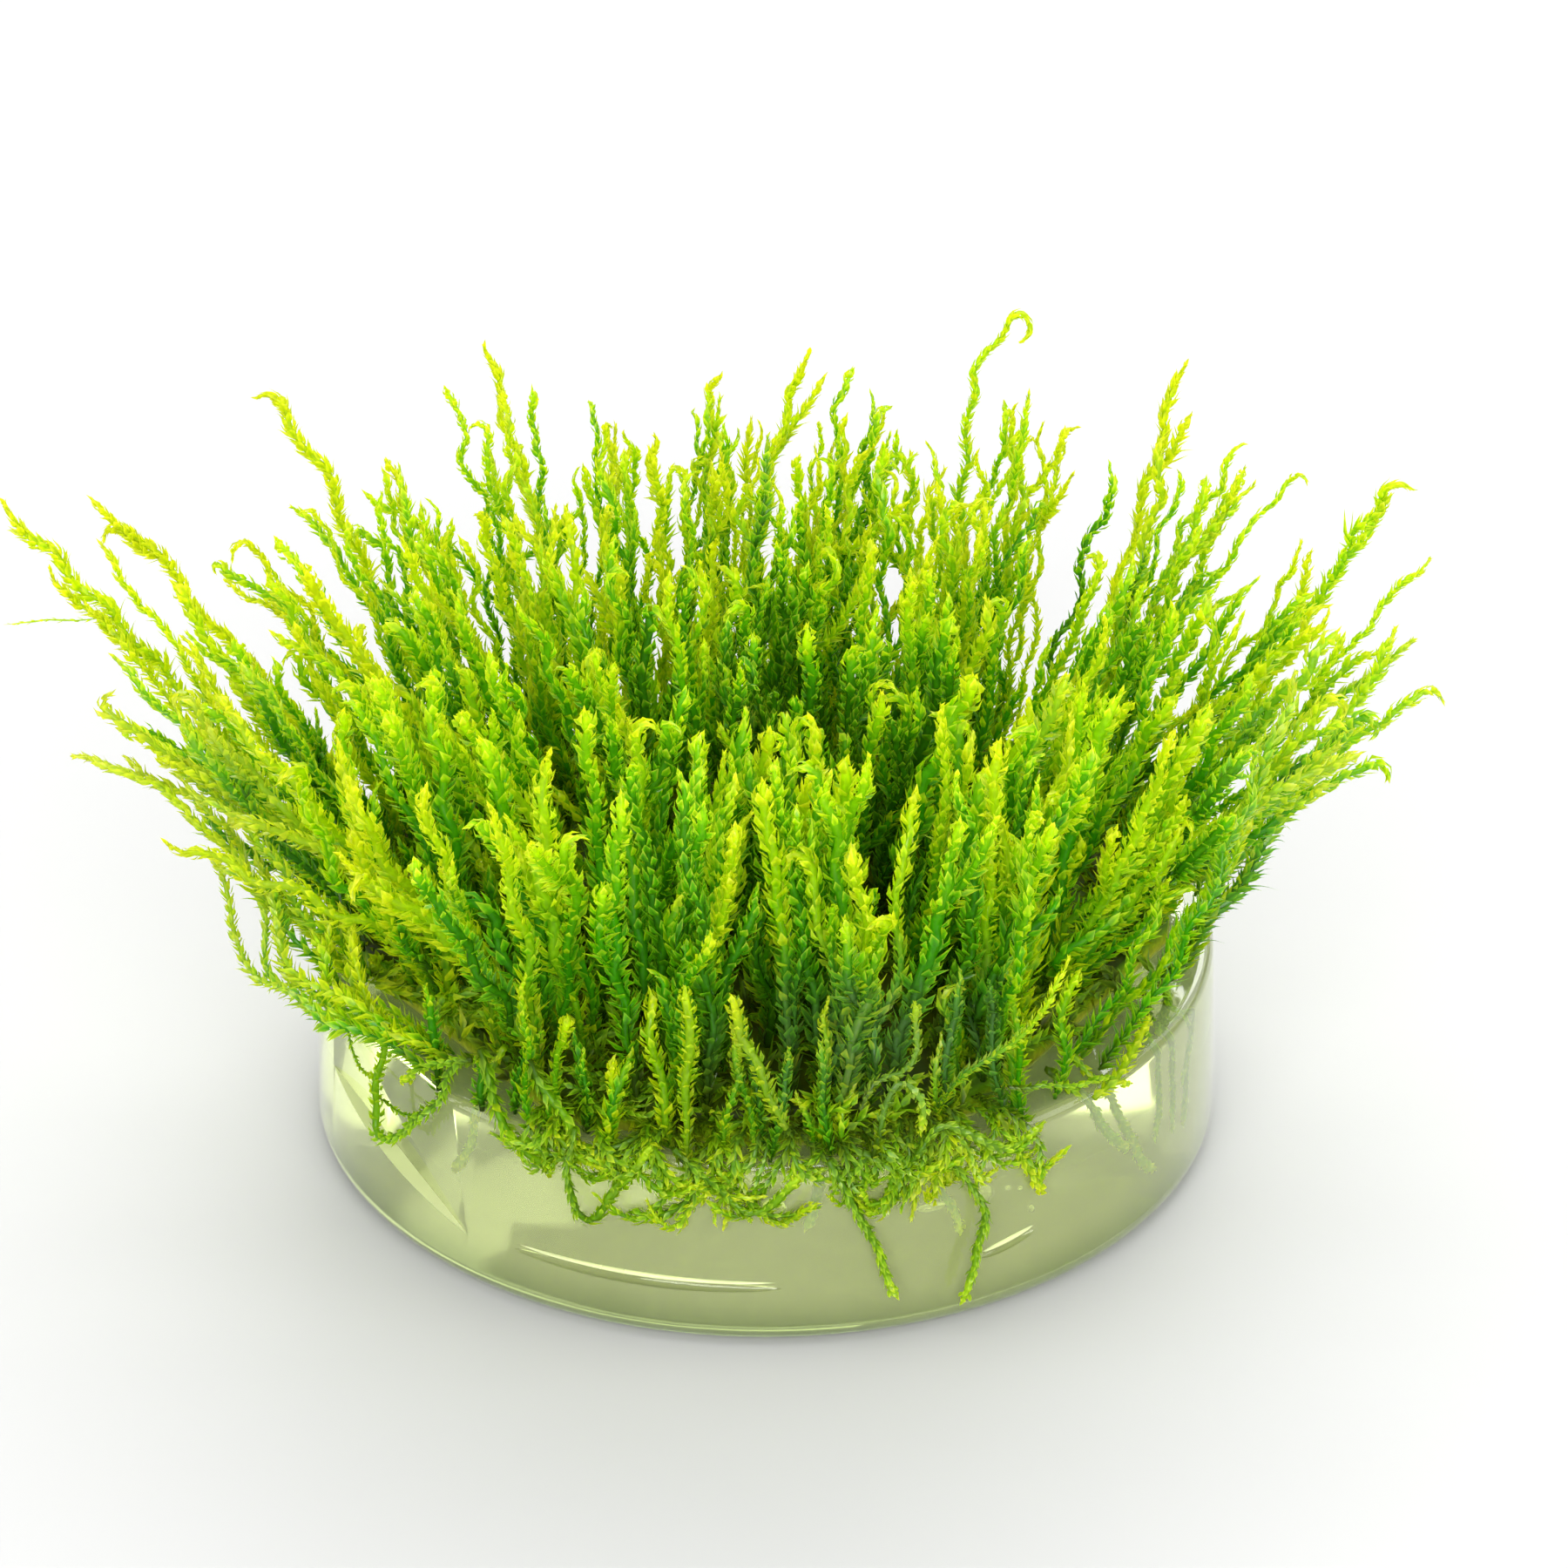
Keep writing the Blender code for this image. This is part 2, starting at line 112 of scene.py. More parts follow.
def mixColour(tree, share, first, second, blend="MIX"):
    made = addNode(tree, "ShaderNodeMix", {"data_type": "RGBA", "blend_type": blend})
    for socket, value in zip((made.inputs[0], made.inputs[6], made.inputs[7]), (share, first, second)):
        if isinstance(value, (int, float, tuple)):
            socket.default_value = value
        else:
            join(tree, value, socket)
    return made.outputs[2]


def mapRange(tree, value, low, high, toLow=0.0, toHigh=1.0):
    made = addNode(tree, "ShaderNodeMapRange", {"interpolation_type": "SMOOTHSTEP"},
                   {"From Min": low, "From Max": high, "To Min": toLow, "To Max": toHigh})
    join(tree, value, made.inputs["Value"])
    return made.outputs[0]


def readMark(tree, name):
    return addNode(tree, "ShaderNodeAttribute", {"attribute_name": name}).outputs["Fac"]


def startMaterial(name):
    material = bpy.data.materials.new(name)
    material.use_nodes = True
    return material, material.node_tree, material.node_tree.nodes["Principled BSDF"]


# the two groups that all moss materials share

tintLook = {
    "patches": 330, "flecks": 2600,  # noise scales
    "toneShare": 0.6, "middleFrom": (0.02, 0.34), "youngFrom": (0.35, 1.0), "yellowFrom": (0.62, 1.15),
    # the keel's darkening is painted shade where leaves overlap; the margins' paling is partly painted light
    "yellowMost": 0.85, "keelShade": (0.3, 0.5, 0.4, 1), "keelShadeEnds": 0.55, "keelShadeMost": 0.75,
    "paleLitFrom": (0.75, 1.25), "paleFlecks": 0.4,
    "fleck": (0.012, 0.07, 0.002, 1), "fleckEnds": (0.35, 0.7), "fleckMost": 0.4,
    "drowned": (0.16, 0.26, 0.11, 1), "drownedFrom": (0.5, 1.5), "drownedMost": 0.6,
}


def makeMossTint():
    look = tintLook
    tree = bpy.data.node_groups.new("mossTint", "ShaderNodeTree")
    for name, kind, value in (("Old", "NodeSocketColor", (0.05, 0.06, 0.006, 1)),
                              ("Middle", "NodeSocketColor", (0.05, 0.25, 0.004, 1)),
                              ("Young", "NodeSocketColor", (0.2, 0.5, 0.008, 1)),
                              ("Yellow", "NodeSocketColor", (0.5, 0.5, 0.008, 1)),
                              ("Tip", "NodeSocketColor", (0.6, 0.75, 0.2, 1)),
                              ("Tone", "NodeSocketFloat", 0.5), ("Grown", "NodeSocketFloat", 0.5),
                              ("Blade", "NodeSocketFloat", 0.0), ("Film", "NodeSocketFloat", 0.0),
                              ("Mottle", "NodeSocketFloat", 0.3)):
        tree.interface.new_socket(name=name, in_out="INPUT", socket_type=kind).default_value = value
    tree.interface.new_socket(name="Color", in_out="OUTPUT", socket_type="NodeSocketColor")
    given = addNode(tree, "NodeGroupInput").outputs
    place = addNode(tree, "ShaderNodeTexCoord").outputs["Object"]
    patches = addNode(tree, "ShaderNodeTexNoise", values={"Scale": look["patches"], "Detail": 1})
    join(tree, place, patches.inputs["Vector"])
    flecks = addNode(tree, "ShaderNodeTexNoise", values={"Scale": look["flecks"], "Detail": 1})
    join(tree, place, flecks.inputs["Vector"])
    shift = mathNode(tree, "MULTIPLY", mathNode(tree, "SUBTRACT", patches.outputs[0], 0.5), given["Mottle"])
    age = mathNode(tree, "ADD", given["Grown"], shift)
    # lower, older parts take the darkest colour: partly their own duller colour, partly painted shade deep in
    # the tufts
    colour = mixColour(tree, mapRange(tree, age, *look["middleFrom"]), given["Old"], given["Middle"])
    offTone = mathNode(tree, "SUBTRACT", given["Tone"], 0.5)
    bright = mathNode(tree, "ADD", age, mathNode(tree, "MULTIPLY", offTone, look["toneShare"]))
    colour = mixColour(tree, mapRange(tree, bright, *look["youngFrom"]), colour, given["Young"])
    ripe = mapRange(tree, mathNode(tree, "ADD", given["Tone"], shift), *look["yellowFrom"],
                    0.0, look["yellowMost"])
    colour = mixColour(tree, ripe, colour, given["Yellow"])
    # painted shade: a deeper keel where the leaves overlap; paler margins and tips, partly their own paler
    # colour and partly painted light shining through them
    keelShade = mapRange(tree, given["Blade"], 0.0, look["keelShadeEnds"], look["keelShadeMost"], 0.0)
    colour = mixColour(tree, keelShade, colour, look["keelShade"], "MULTIPLY")
    paleFlecks = mathNode(tree, "MULTIPLY", flecks.outputs[0], look["paleFlecks"])
    palerLit = mapRange(tree, mathNode(tree, "ADD", given["Blade"], paleFlecks), *look["paleLitFrom"])
    colour = mixColour(tree, mathNode(tree, "MULTIPLY", palerLit, given["Grown"]), colour, given["Tip"])
    # small darker flecks
    darker = mapRange(tree, flecks.outputs[0], *look["fleckEnds"], look["fleckMost"], 0.0)
    colour = mixColour(tree, darker, colour, look["fleck"])
    # under the water film all is a dull grey green
    deep = mathNode(tree, "ADD", given["Film"], shift)
    drowned = mapRange(tree, deep, *look["drownedFrom"], 0.0, look["drownedMost"])
    colour = mixColour(tree, drowned, colour, look["drowned"])
    out = addNode(tree, "NodeGroupOutput")
    join(tree, colour, out.inputs["Color"])
    return tree


filmLook = {
    "streaks": 420, "grain": 3800,  # noise scales
    "filmShare": 0.35, "wetFrom": (0.6, 0.84), "dryRoughness": 0.48, "wetRoughness": 0.2, "ior": 1.36,
    "coat": 0.8, "coatRoughness": 0.12, "coatIor": 1.33, "relief": 1.0,
    "bumpStrength": 0.35, "bumpDepth": 0.00005,
}


def makeWetFilm():
    look = filmLook
    tree = bpy.data.node_groups.new("wetFilm", "ShaderNodeTree")
    for name, value in (("Film", 0.0), ("Dry Roughness", 0.5), ("Wet Roughness", 0.2), ("Relief", 1.0)):
        socket = tree.interface.new_socket(name=name, in_out="INPUT", socket_type="NodeSocketFloat")
        socket.default_value = value
    for name in ("Coat", "Roughness", "Height"):
        tree.interface.new_socket(name=name, in_out="OUTPUT", socket_type="NodeSocketFloat")
    given = addNode(tree, "NodeGroupInput").outputs
    place = addNode(tree, "ShaderNodeTexCoord").outputs["Object"]
    streaks = addNode(tree, "ShaderNodeTexNoise", values={"Scale": look["streaks"], "Detail": 1})
    join(tree, place, streaks.inputs["Vector"])
    grain = addNode(tree, "ShaderNodeTexNoise", values={"Scale": look["grain"], "Detail": 0})
    join(tree, place, grain.inputs["Vector"])
    film = mathNode(tree, "MULTIPLY", given["Film"], look["filmShare"])
    wet = mapRange(tree, mathNode(tree, "ADD", streaks.outputs[0], film), *look["wetFrom"])
    out = addNode(tree, "NodeGroupOutput")
    join(tree, mathNode(tree, "MULTIPLY", wet, look["coat"]), out.inputs["Coat"])
    rough = addNode(tree, "ShaderNodeMix", {"data_type": "FLOAT"})
    join(tree, wet, rough.inputs[0])
    join(tree, given["Dry Roughness"], rough.inputs[2])
    join(tree, given["Wet Roughness"], rough.inputs[3])
    join(tree, rough.outputs[0], out.inputs["Roughness"])
    join(tree, mathNode(tree, "MULTIPLY", grain.outputs[0], given["Relief"]), out.inputs["Height"])
    return tree


mossTint = makeMossTint()
wetFilm = makeWetFilm()

mossLooks = {
    "mossShoots": {"Old": (0.08, 0.11, 0.003, 1), "Middle": (0.12, 0.52, 0.002, 1),
                   "Young": (0.62, 0.93, 0.003, 1), "Yellow": (0.84, 0.9, 0.004, 1),
                   "Tip": (0.97, 1.0, 0.08, 1), "Mottle": 0.45, "through": 0.54,
                   "glow": ((0.0, (0.14, 0.22, 0.002)), (0.25, (0.24, 0.74, 0.002)),
                            (0.55, (0.8, 1.0, 0.003)), (1.0, (1.0, 1.0, 0.012)))},
    "mossMat": {"Old": (0.07, 0.075, 0.003, 1), "Middle": (0.26, 0.54, 0.003, 1),
                "Young": (0.6, 0.88, 0.005, 1), "Yellow": (0.78, 0.82, 0.01, 1),
                "Tip": (0.9, 0.96, 0.08, 1), "Mottle": 0.6, "through": 0.5,
                "glow": ((0.0, (0.28, 0.26, 0.002)), (0.3, (0.5, 0.8, 0.003)), (1.0, (0.96, 1.0, 0.01)))},
    "mossStems": {"Old": (0.14, 0.17, 0.01, 1), "Middle": (0.24, 0.5, 0.005, 1),
                  "Young": (0.58, 0.86, 0.01, 1), "Yellow": (0.74, 0.76, 0.02, 1),
                  "Tip": (0.9, 0.97, 0.12, 1), "Mottle": 0.5, "through": 0.5,
                  "glow": ((0.0, (0.26, 0.26, 0.01)), (0.4, (0.5, 0.75, 0.005)), (1.0, (0.92, 1.0, 0.02)))},
}


def makeMossMaterial(name):
    look = mossLooks[name]
    material, tree, surface = startMaterial(name)
    tint = addNode(tree, "ShaderNodeGroup", {"node_tree": mossTint},
                   {key: look[key] for key in ("Old", "Middle", "Young", "Yellow", "Tip", "Mottle")})
    for key, mark in (("Tone", "tone"), ("Grown", "grown"), ("Blade", "blade"), ("Film", "film")):
        join(tree, readMark(tree, mark), tint.inputs[key])
    film = addNode(tree, "ShaderNodeGroup", {"node_tree": wetFilm},
                   {"Dry Roughness": filmLook["dryRoughness"], "Wet Roughness": filmLook["wetRoughness"],
                    "Relief": filmLook["relief"]})
    join(tree, readMark(tree, "film"), film.inputs["Film"])
    join(tree, tint.outputs["Color"], surface.inputs["Base Color"])
    join(tree, film.outputs["Roughness"], surface.inputs["Roughness"])
    join(tree, film.outputs["Coat"], surface.inputs["Coat Weight"])
    surface.inputs["Coat Roughness"].default_value = filmLook["coatRoughness"]
    surface.inputs["Coat IOR"].default_value = filmLook["coatIor"]
    surface.inputs["IOR"].default_value = filmLook["ior"]
    bump = addNode(tree, "ShaderNodeBump",
                   values={"Strength": filmLook["bumpStrength"], "Distance": filmLook["bumpDepth"]})
    join(tree, film.outputs["Height"], bump.inputs["Height"])
    join(tree, bump.outputs[0], surface.inputs["Normal"])
    glow = addNode(tree, "ShaderNodeValToRGB")
    stops = glow.color_ramp.elements
    while len(stops) < len(look["glow"]):
        stops.new(0.5)
    for stop, (share, colour) in zip(stops, look["glow"]):
        stop.position = share
        stop.color = (*colour, 1)
    join(tree, readMark(tree, "light"), glow.inputs[0])
    through = addNode(tree, "ShaderNodeBsdfTranslucent")
    join(tree, glow.outputs[0], through.inputs["Color"])
    both = addNode(tree, "ShaderNodeMixShader", values={0: look["through"]})
    join(tree, surface.outputs[0], both.inputs[1])
    join(tree, through.outputs[0], both.inputs[2])
    join(tree, both.outputs[0], tree.nodes["Material Output"].inputs["Surface"])
    return material


mossMaterials = {name: makeMossMaterial(name) for name in mossLooks}
print("moss materials made")


# one leaf, modelled once: rows are (how far along, half width, how far off the stem)
leafShapes = {
    "small": {"columns": 2, "edgeDrop": 0.0,
              "rows": ((0.0, 0.85, 0.0), (0.42, 0.95, 0.13), (1.0, 0.0, 0.55))},
    "plain": {"columns": 2, "edgeDrop": 0.0,
              "rows": ((0.0, 0.75, 0.0), (0.4, 1.0, 0.12), (0.72, 0.42, 0.26), (1.0, 0.0, 0.6))},
    "fine": {"columns": 2, "edgeDrop": 0.02,
             "rows": ((0.0, 0.7, 0.0), (0.25, 1.0, 0.07), (0.5, 0.86, 0.15), (0.7, 0.44, 0.24),
                      (0.86, 0.19, 0.38), (1.0, 0.0, 0.62))},
}


def modelLeaf(name):
    shape = leafShapes[name]
    rows = shape["rows"]
    last = len(rows) - 1
    selectNothing()
    bpy.ops.mesh.primitive_grid_add(x_subdivisions=shape["columns"], y_subdivisions=last, size=2)
    leaf = bpy.context.object
    level = {v.index: round((v.co.y + 1) / 2 * last) for v in leaf.data.vertices}
    for row, (along, width, lift) in enumerate(rows):
        editWhere(leaf, lambda v: level[v.index] == row)
        start = -1 + 2 * row / last
        bpy.ops.transform.resize(value=(width, 1, 1), center_override=(0, start, 0))
        bpy.ops.transform.translate(value=(0, along - start, lift))
    editWhere(leaf, lambda v: abs(v.co.x) > 0.25 * rows[level[v.index]][1] and level[v.index] < last)
    bpy.ops.transform.translate(value=(0, 0, -shape["edgeDrop"]))
    editWhere(leaf, lambda v: level[v.index] == last)
    bpy.ops.mesh.merge(type="CENTER")
    bpy.ops.mesh.select_all(action="SELECT")
    bpy.ops.mesh.quads_convert_to_tris()
    selectNothing()
    points = np.array([v.co[:] for v in leaf.data.vertices])
    faces = np.array([f.vertices[:] for f in leaf.data.polygons])
    print("leaf", name, len(points), "points", len(faces), "faces")
    bpy.data.objects.remove(leaf)
    across, along = np.abs(points[:, 0]), points[:, 1]
    margin = np.where((across > 0.2) | (along > 0.99), 0.3 + 0.7 * np.minimum(1, 2.4 * along), 0.25 * along)
    return points, faces, margin


leaves = {name: modelLeaf(name) for name in leafShapes}


# a heap is a list of (points, triangles, marks) that becomes one joined mesh
# the blade mark is 1 on a leaf's margins
markNames = ("tone", "grown", "blade", "film", "light")


def becomePiece(heap, name, material, node):
    counts = np.cumsum([0] + [len(points) for points, faces, marks in heap])
    points = np.concatenate([part[0] for part in heap]) * mm
    faces = np.concatenate([part[1] + count for part, count in zip(heap, counts)])
    marks = np.concatenate([part[2] for part in heap])
    mesh = bpy.data.meshes.new(name)
    mesh.from_pydata(points.tolist(), [], faces.tolist())
    for key, column in zip(markNames, marks.T):
        mesh.attributes.new(key, "FLOAT", "POINT").data.foreach_set("value", column.astype(np.float32))
    mesh.shade_smooth()
    mesh.materials.append(material)
    item = bpy.data.objects.new(name, mesh)
    scene.collection.objects.link(item)
    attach(item, "root")
    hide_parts(node)
    return len(faces)


def splinePoint(a, b, c, d, t):
    return 0.5 * (2 * b + (c - a) * t + (2 * a - 5 * b + 4 * c - d) * t ** 2
                  + (3 * b - a - 3 * c + d) * t ** 3)


def smoothPath(points, step=0.22):
    # evenly spaced points on a Catmull-Rom curve through the given ones, and how far along each is
    p = np.asarray(points, float)
    ends = np.vstack([2 * p[0] - p[1], p, 2 * p[-1] - p[-2]])
    fine = []
    t = np.linspace(0, 1, 10, endpoint=False)[:, None]
    for i in range(len(p) - 1):
        fine.append(splinePoint(*ends[i:i + 4], t))
    fine = np.vstack(fine + [p[-1:]])
    reach = np.r_[0, np.cumsum(np.linalg.norm(np.diff(fine, axis=0), axis=1))]
    at = np.linspace(0, reach[-1], max(int(reach[-1] / step), 6))
    return np.column_stack([np.interp(at, reach, fine[:, k]) for k in range(3)]), at


def pathFrames(points):
    # direction and two steady side vectors at each point
    ahead = np.gradient(points, axis=0)
    ahead /= np.linalg.norm(ahead, axis=1)[:, None]
    side = np.zeros_like(points)
    now = np.cross(ahead[0], (0.3, 0.9, 0.1))
    for i, way in enumerate(ahead):
        now = now - now.dot(way) * way
        now /= np.linalg.norm(now)
        side[i] = now
    return ahead, side, np.cross(ahead, side)


def smoothStep(low, high, value):
    t = np.clip((value - low) / (high - low), 0, 1)
    return t * t * (3 - 2 * t)


def curlEnd(points, radius, turn, sideways):
    # adds a hooked end that bends towards the given way
    points = np.asarray(points, float)
    way = points[-1] - points[-2]
    way /= np.linalg.norm(way)
    side = np.array(sideways, float)
    side -= side.dot(way) * way
    side /= np.linalg.norm(side)
    angles = np.linspace(0, math.radians(turn), 6)[1:, None]
    return np.vstack([points, points[-1] + radius * (np.sin(angles) * way + (1 - np.cos(angles)) * side)])


# where the moss is clearer, wetter and riper, and where painted shade darkens its middle
markLook = {
    "light": {"least": 0.02, "grown": 0.45, "tone": 0.5, "blade": 0.36, "film": 0.3, "dullFrom": 0.6},
    "wetSpot": (7, -27, 21), "wetSpread": (11, 9, 6), "wetMost": 1.1,
    "wetFlank": (24, 31), "wetFlankBack": (8, -6), "flankWet": 0.7,
    # the core is a painted shade in the middle of the moss
    "leftRipe": 0.42, "rightRipe": 0.06, "backRipe": 0.26, "core": (2, -2), "coreShadeSpread": (9, 10),
}


def lightMark(marks):
    # how clear and yellow the leaf is where light shines through it
    look = markLook["light"]
    tone, grown, blade, film = (marks[..., k] for k in range(4))
    dull = np.clip(film - look["dullFrom"], 0, 1)
    return np.clip(look["least"] + look["grown"] * grown + look["tone"] * (tone - 0.5) + look["blade"] * blade
                   - look["film"] * dull, 0, 1)


def wetness(points):
    # how much of the wet film lies on the moss: most in the lower front middle and on the outer flanks
    look = markLook
    offX, offY, offZ = (((points[..., k] - look["wetSpot"][k]) / look["wetSpread"][k]) ** 2 for k in range(3))
    x, y = points[..., 0], points[..., 1]
    flanks = look["flankWet"] * smoothStep(*look["wetFlank"], np.abs(x)) * smoothStep(*look["wetFlankBack"], y)
    return np.clip(look["wetMost"] * np.exp(-offX - offY - offZ) + flanks, 0, look["wetMost"])


def ripenessAndShade(points):
    # yellower towards the flanks and the back; darker in the middle, a painted shade for the hollow between
    # the tufts
    look = markLook
    x, y, z = points[..., 0], points[..., 1], points[..., 2]
    offX, offY = (((points[..., k] - look["core"][k]) / look["coreShadeSpread"][k]) ** 2 for k in range(2))
    core = np.exp(-offX - offY) * smoothStep(39, 30, z)
    flanks = look["leftRipe"] * smoothStep(10, 34, -x) + look["rightRipe"] * smoothStep(18, 42, x)
    return flanks + look["backRipe"] * smoothStep(-6, 26, y) - core


# what all shoots share: lengths in millimetres, spreads as (least, most) times the given size
shootLook = {
    "waveLength": (4.5, 9), "quickWave": 0.35, "quickTurn": 2.6, "twist": 0.9, "twistTurn": 0.16,
    "stemSides": 5, "stemStep": 4, "footGirth": 0.72, "bodyGirth": 0.28, "ripple": 0.16, "rippleTurn": 3.9,
    "taper": {"point": 2.4, "blunt": 0.5, "hook": 1.5}, "taperMost": 0.8,
    "stemBlade": 0.1, "leafSize": (0.75, 1.2), "leafWidth": (0.85, 1.15), "leafLift": (0.55, 1.35),
    # the tone added near the ends is partly painted light on the tips
    "leafTwist": 0.35, "leafTone": 0.3, "youngLitTone": 0.4, "strayShare": 0.1, "strayLift": 1.7,
    "sheathLift": 0.45,
    "pressed": {"point": 0.45, "blunt": 0.8, "hook": 0.45}, "clasp": 0.62, "clear": 0.02, "thinnest": 0.06,
}


def shootSpine(points, wave):
    # the path with slow waves that grow from nothing at the foot, and smaller, quicker ones towards the tip
    look = shootLook
    spine, at = smoothPath(points)
    share = at / at[-1]
    ahead, side, up = pathFrames(spine)
    turns = dice.uniform(0, 2 * math.pi, 6)
    waves = dice.uniform(*look["waveLength"], 2)
    grow = wave * smoothStep(0, 0.3, share)
    quick = look["quickWave"] * wave * smoothStep(0.4, 0.8, share) * np.sin(at * look["quickTurn"] + turns[5])
    spine = spine + (grow * np.sin(at / waves[0] * 2 * math.pi + turns[0]) + quick)[:, None] * side \
        + (grow * np.sin(at / waves[1] * 2 * math.pi + turns[1]))[:, None] * up
    return spine, at, turns


def stemTube(spine, at, side, up, ahead, radius):
    # the stem inside its clasping sheaths, closed by a point at either end
    sides = shootLook["stemSides"]
    picks = np.r_[np.arange(0, len(at) - 1, shootLook["stemStep"]), len(at) - 1]
    angles = np.linspace(0, 2 * math.pi, sides, endpoint=False)
    ring = np.cos(angles)[None, :, None] * side[picks][:, None] \
        + np.sin(angles)[None, :, None] * up[picks][:, None]
    stem = (spine[picks][:, None] + radius[picks][:, None, None] * ring).reshape(-1, 3)
    turn = np.arange(sides)
    low = (np.arange(len(picks) - 1)[:, None] * sides + turn).ravel()
    nxt = (np.arange(len(picks) - 1)[:, None] * sides + (turn + 1) % sides).ravel()
    tip = len(stem)
    faces = np.vstack([np.column_stack([low, nxt, low + sides]),
                       np.column_stack([nxt, nxt + sides, low + sides]),
                       [(tip - sides + k, tip - sides + (k + 1) % sides, tip) for k in turn],
                       [((k + 1) % sides, k, tip + 1) for k in turn]])
    return np.vstack([stem, spine[-1] + ahead[-1] * 0.12, spine[0]]), faces, picks


def growShoot(heap, points, girth=0.4, leaf=0.9, pitch=0.14, stand=1.0, end="point", tone=0.5, film=0.0,
              grownFrom=0.0, grownTo=1.0, kind="small", width=0.36, wave=0.15, flat=0.7, sheath=0.0,
              core=0.52):
    look = shootLook
    spine, at, turns = shootSpine(points, wave)
    length = at[-1]
    share = at / length
    ahead, side, up = pathFrames(spine)
    # the shoot is flattened, and the flat side turns slowly on the way up
    twist = (turns[4] + look["twist"] * np.sin(at * look["twistTurn"] + turns[2]))[:, None]
    side, up = np.cos(twist) * side + np.sin(twist) * up, np.cos(twist) * up - np.sin(twist) * side
    body = girth * (look["footGirth"] + look["bodyGirth"] * smoothStep(0.05, 0.5, share)) \
        * (1 + look["ripple"] * np.sin(at * look["rippleTurn"] + turns[2]))
    body = body * (1 - look["taperMost"] * smoothStep(length - look["taper"][end], length, at) ** 1.4)
    up = up * np.minimum(1, flat + 0.3 * smoothStep(length - 1.5, length, at))[:, None]

    stem, faces, picks = stemTube(spine, at, side, up, ahead, core * body)
    sides = look["stemSides"]
    marks = np.zeros((len(stem), len(markNames)))
    marks[:, 0] = tone + ripenessAndShade(stem)
    marks[:-2, 1] = np.repeat(grownFrom + (grownTo - grownFrom) * share[picks], sides)
    marks[-2:, 1] = grownTo, grownFrom
    marks[:, 2] = look["stemBlade"]
    # paler towards the tip: partly young growth, partly painted light where the tip catches the light from
    # above
    marks[:-2, 2] += np.repeat(0.5 * smoothStep(length - 2.2, length - 0.3, at[picks]), sides)
    marks[:, 3] = film + wetness(stem)
    marks[:, 4] = lightMark(marks)
    heap.append((stem, faces, marks))

    # the leaves, one after another round the stem, most of them towards its two edges
    blade, bladeFaces, margin = leaves[kind]
    count = max(int((length + 0.1) / pitch), 3)
    start = np.minimum((np.arange(count) + dice.uniform(0, 0.8, count)) * pitch, length - 0.08)
    here = start / length
    around = np.arange(count) * golden + turns[3]
    around = around - 0.25 * np.sin(2 * around) + dice.uniform(-0.2, 0.2, count)
    size = leaf * dice.uniform(*look["leafSize"], count) * (1.08 - 0.2 * smoothStep(0.1, 0.6, here)) \
        * (1 - 0.25 * smoothStep(length - 2.0, length, start))
    lift = stand * (1.35 - 0.65 * smoothStep(0.3, 0.85, here)) * dice.uniform(*look["leafLift"], count)
    lift = np.where(dice.random(count) < look["strayShare"], lift * look["strayLift"], lift)
    # a sheathed top: leaves pressed on the shoot, only now and then a tip stands off
    close = dice.random(count) < sheath * smoothStep(0.45, 0.6, here)
    lift = np.where(close, lift * look["sheathLift"], lift)
    lift = lift * (1 - look["pressed"][end] * smoothStep(length - 2.0, length - 0.6, start))
    rest = np.interp(start, at, body)
    spot = start[:, None] + blade[None, :, 1] * size[:, None]
    clasp = look["clasp"] + 0.38 * smoothStep(0, 0.4, blade[None, :, 1])
    radius = np.maximum(np.interp(spot, at, body) * clasp, look["thinnest"]) + look["clear"] \
        + blade[None, :, 2] * (size * lift)[:, None]
    radius = np.maximum(radius, (rest * 0.3)[:, None])
    wrap = width * dice.uniform(*look["leafWidth"], count)[:, None] / (0.5 * (rest[:, None] + radius) + 0.1)
    curl = dice.uniform(-look["leafTwist"], look["leafTwist"], count)[:, None] * blade[None, :, 1] ** 2
    theta = around[:, None] + blade[None, :, 0] * wrap + curl
    over = np.maximum(spot - length, 0)

    def along(table):
        return np.stack([np.interp(spot, at, table[:, k]) for k in range(3)], -1)

    middle = along(spine) + over[..., None] * ahead[-1]
    off = np.cos(theta)[..., None] * along(side) + np.sin(theta)[..., None] * along(up)
    points = middle + radius[..., None] * off
    marks = np.zeros((count, len(blade), len(markNames)))
    # paler towards the ends: partly the paler young leaves, partly painted light where the tips catch the
    # light from above
    youngAndLit = look["youngLitTone"] * smoothStep(length - 2.6, length - 0.3, spot)  # the ends are the clearest
    tones = tone + dice.uniform(-look["leafTone"], look["leafTone"], count)
    marks[..., 0] = tones[:, None] + ripenessAndShade(points) + youngAndLit
    marks[..., 1] = grownFrom + (grownTo - grownFrom) * np.minimum(spot / length, 1)
    marks[..., 2] = margin[None]
    marks[..., 3] = film + wetness(points)
    marks[..., 4] = lightMark(marks)
    faces = bladeFaces[None] + np.arange(count)[:, None, None] * len(blade)
    heap.append((points.reshape(-1, 3), faces.reshape(-1, 3), marks.reshape(-1, len(markNames))))
    return spine, ahead, side


# where the shoots stand: the same rings of hubs and the same paths as in the solids, in millimetres
layout = {
    "seed": 11,
    "matCentre": (-0.3, -0.5),
    "matRadius": 28.2,
    "matTop": 16.2,
    "hubTop": 17.7,
    "hubBottom": 16.5,
    "hubRings": ((0, 1), (8.6, 6), (17.1, 11), (25.0, 16)),
    "hubRadius": 3.9,
    "rise": 22.6,
    "clearance": 2.9,
    "leanSide": 34, "leanBack": 8, "leanFront": 1, "leanLoss": 0.18,
    "sway": 1.4, "bow": 2.2, "hook": 1.4, "levels": 9, "rounds": 120,
}

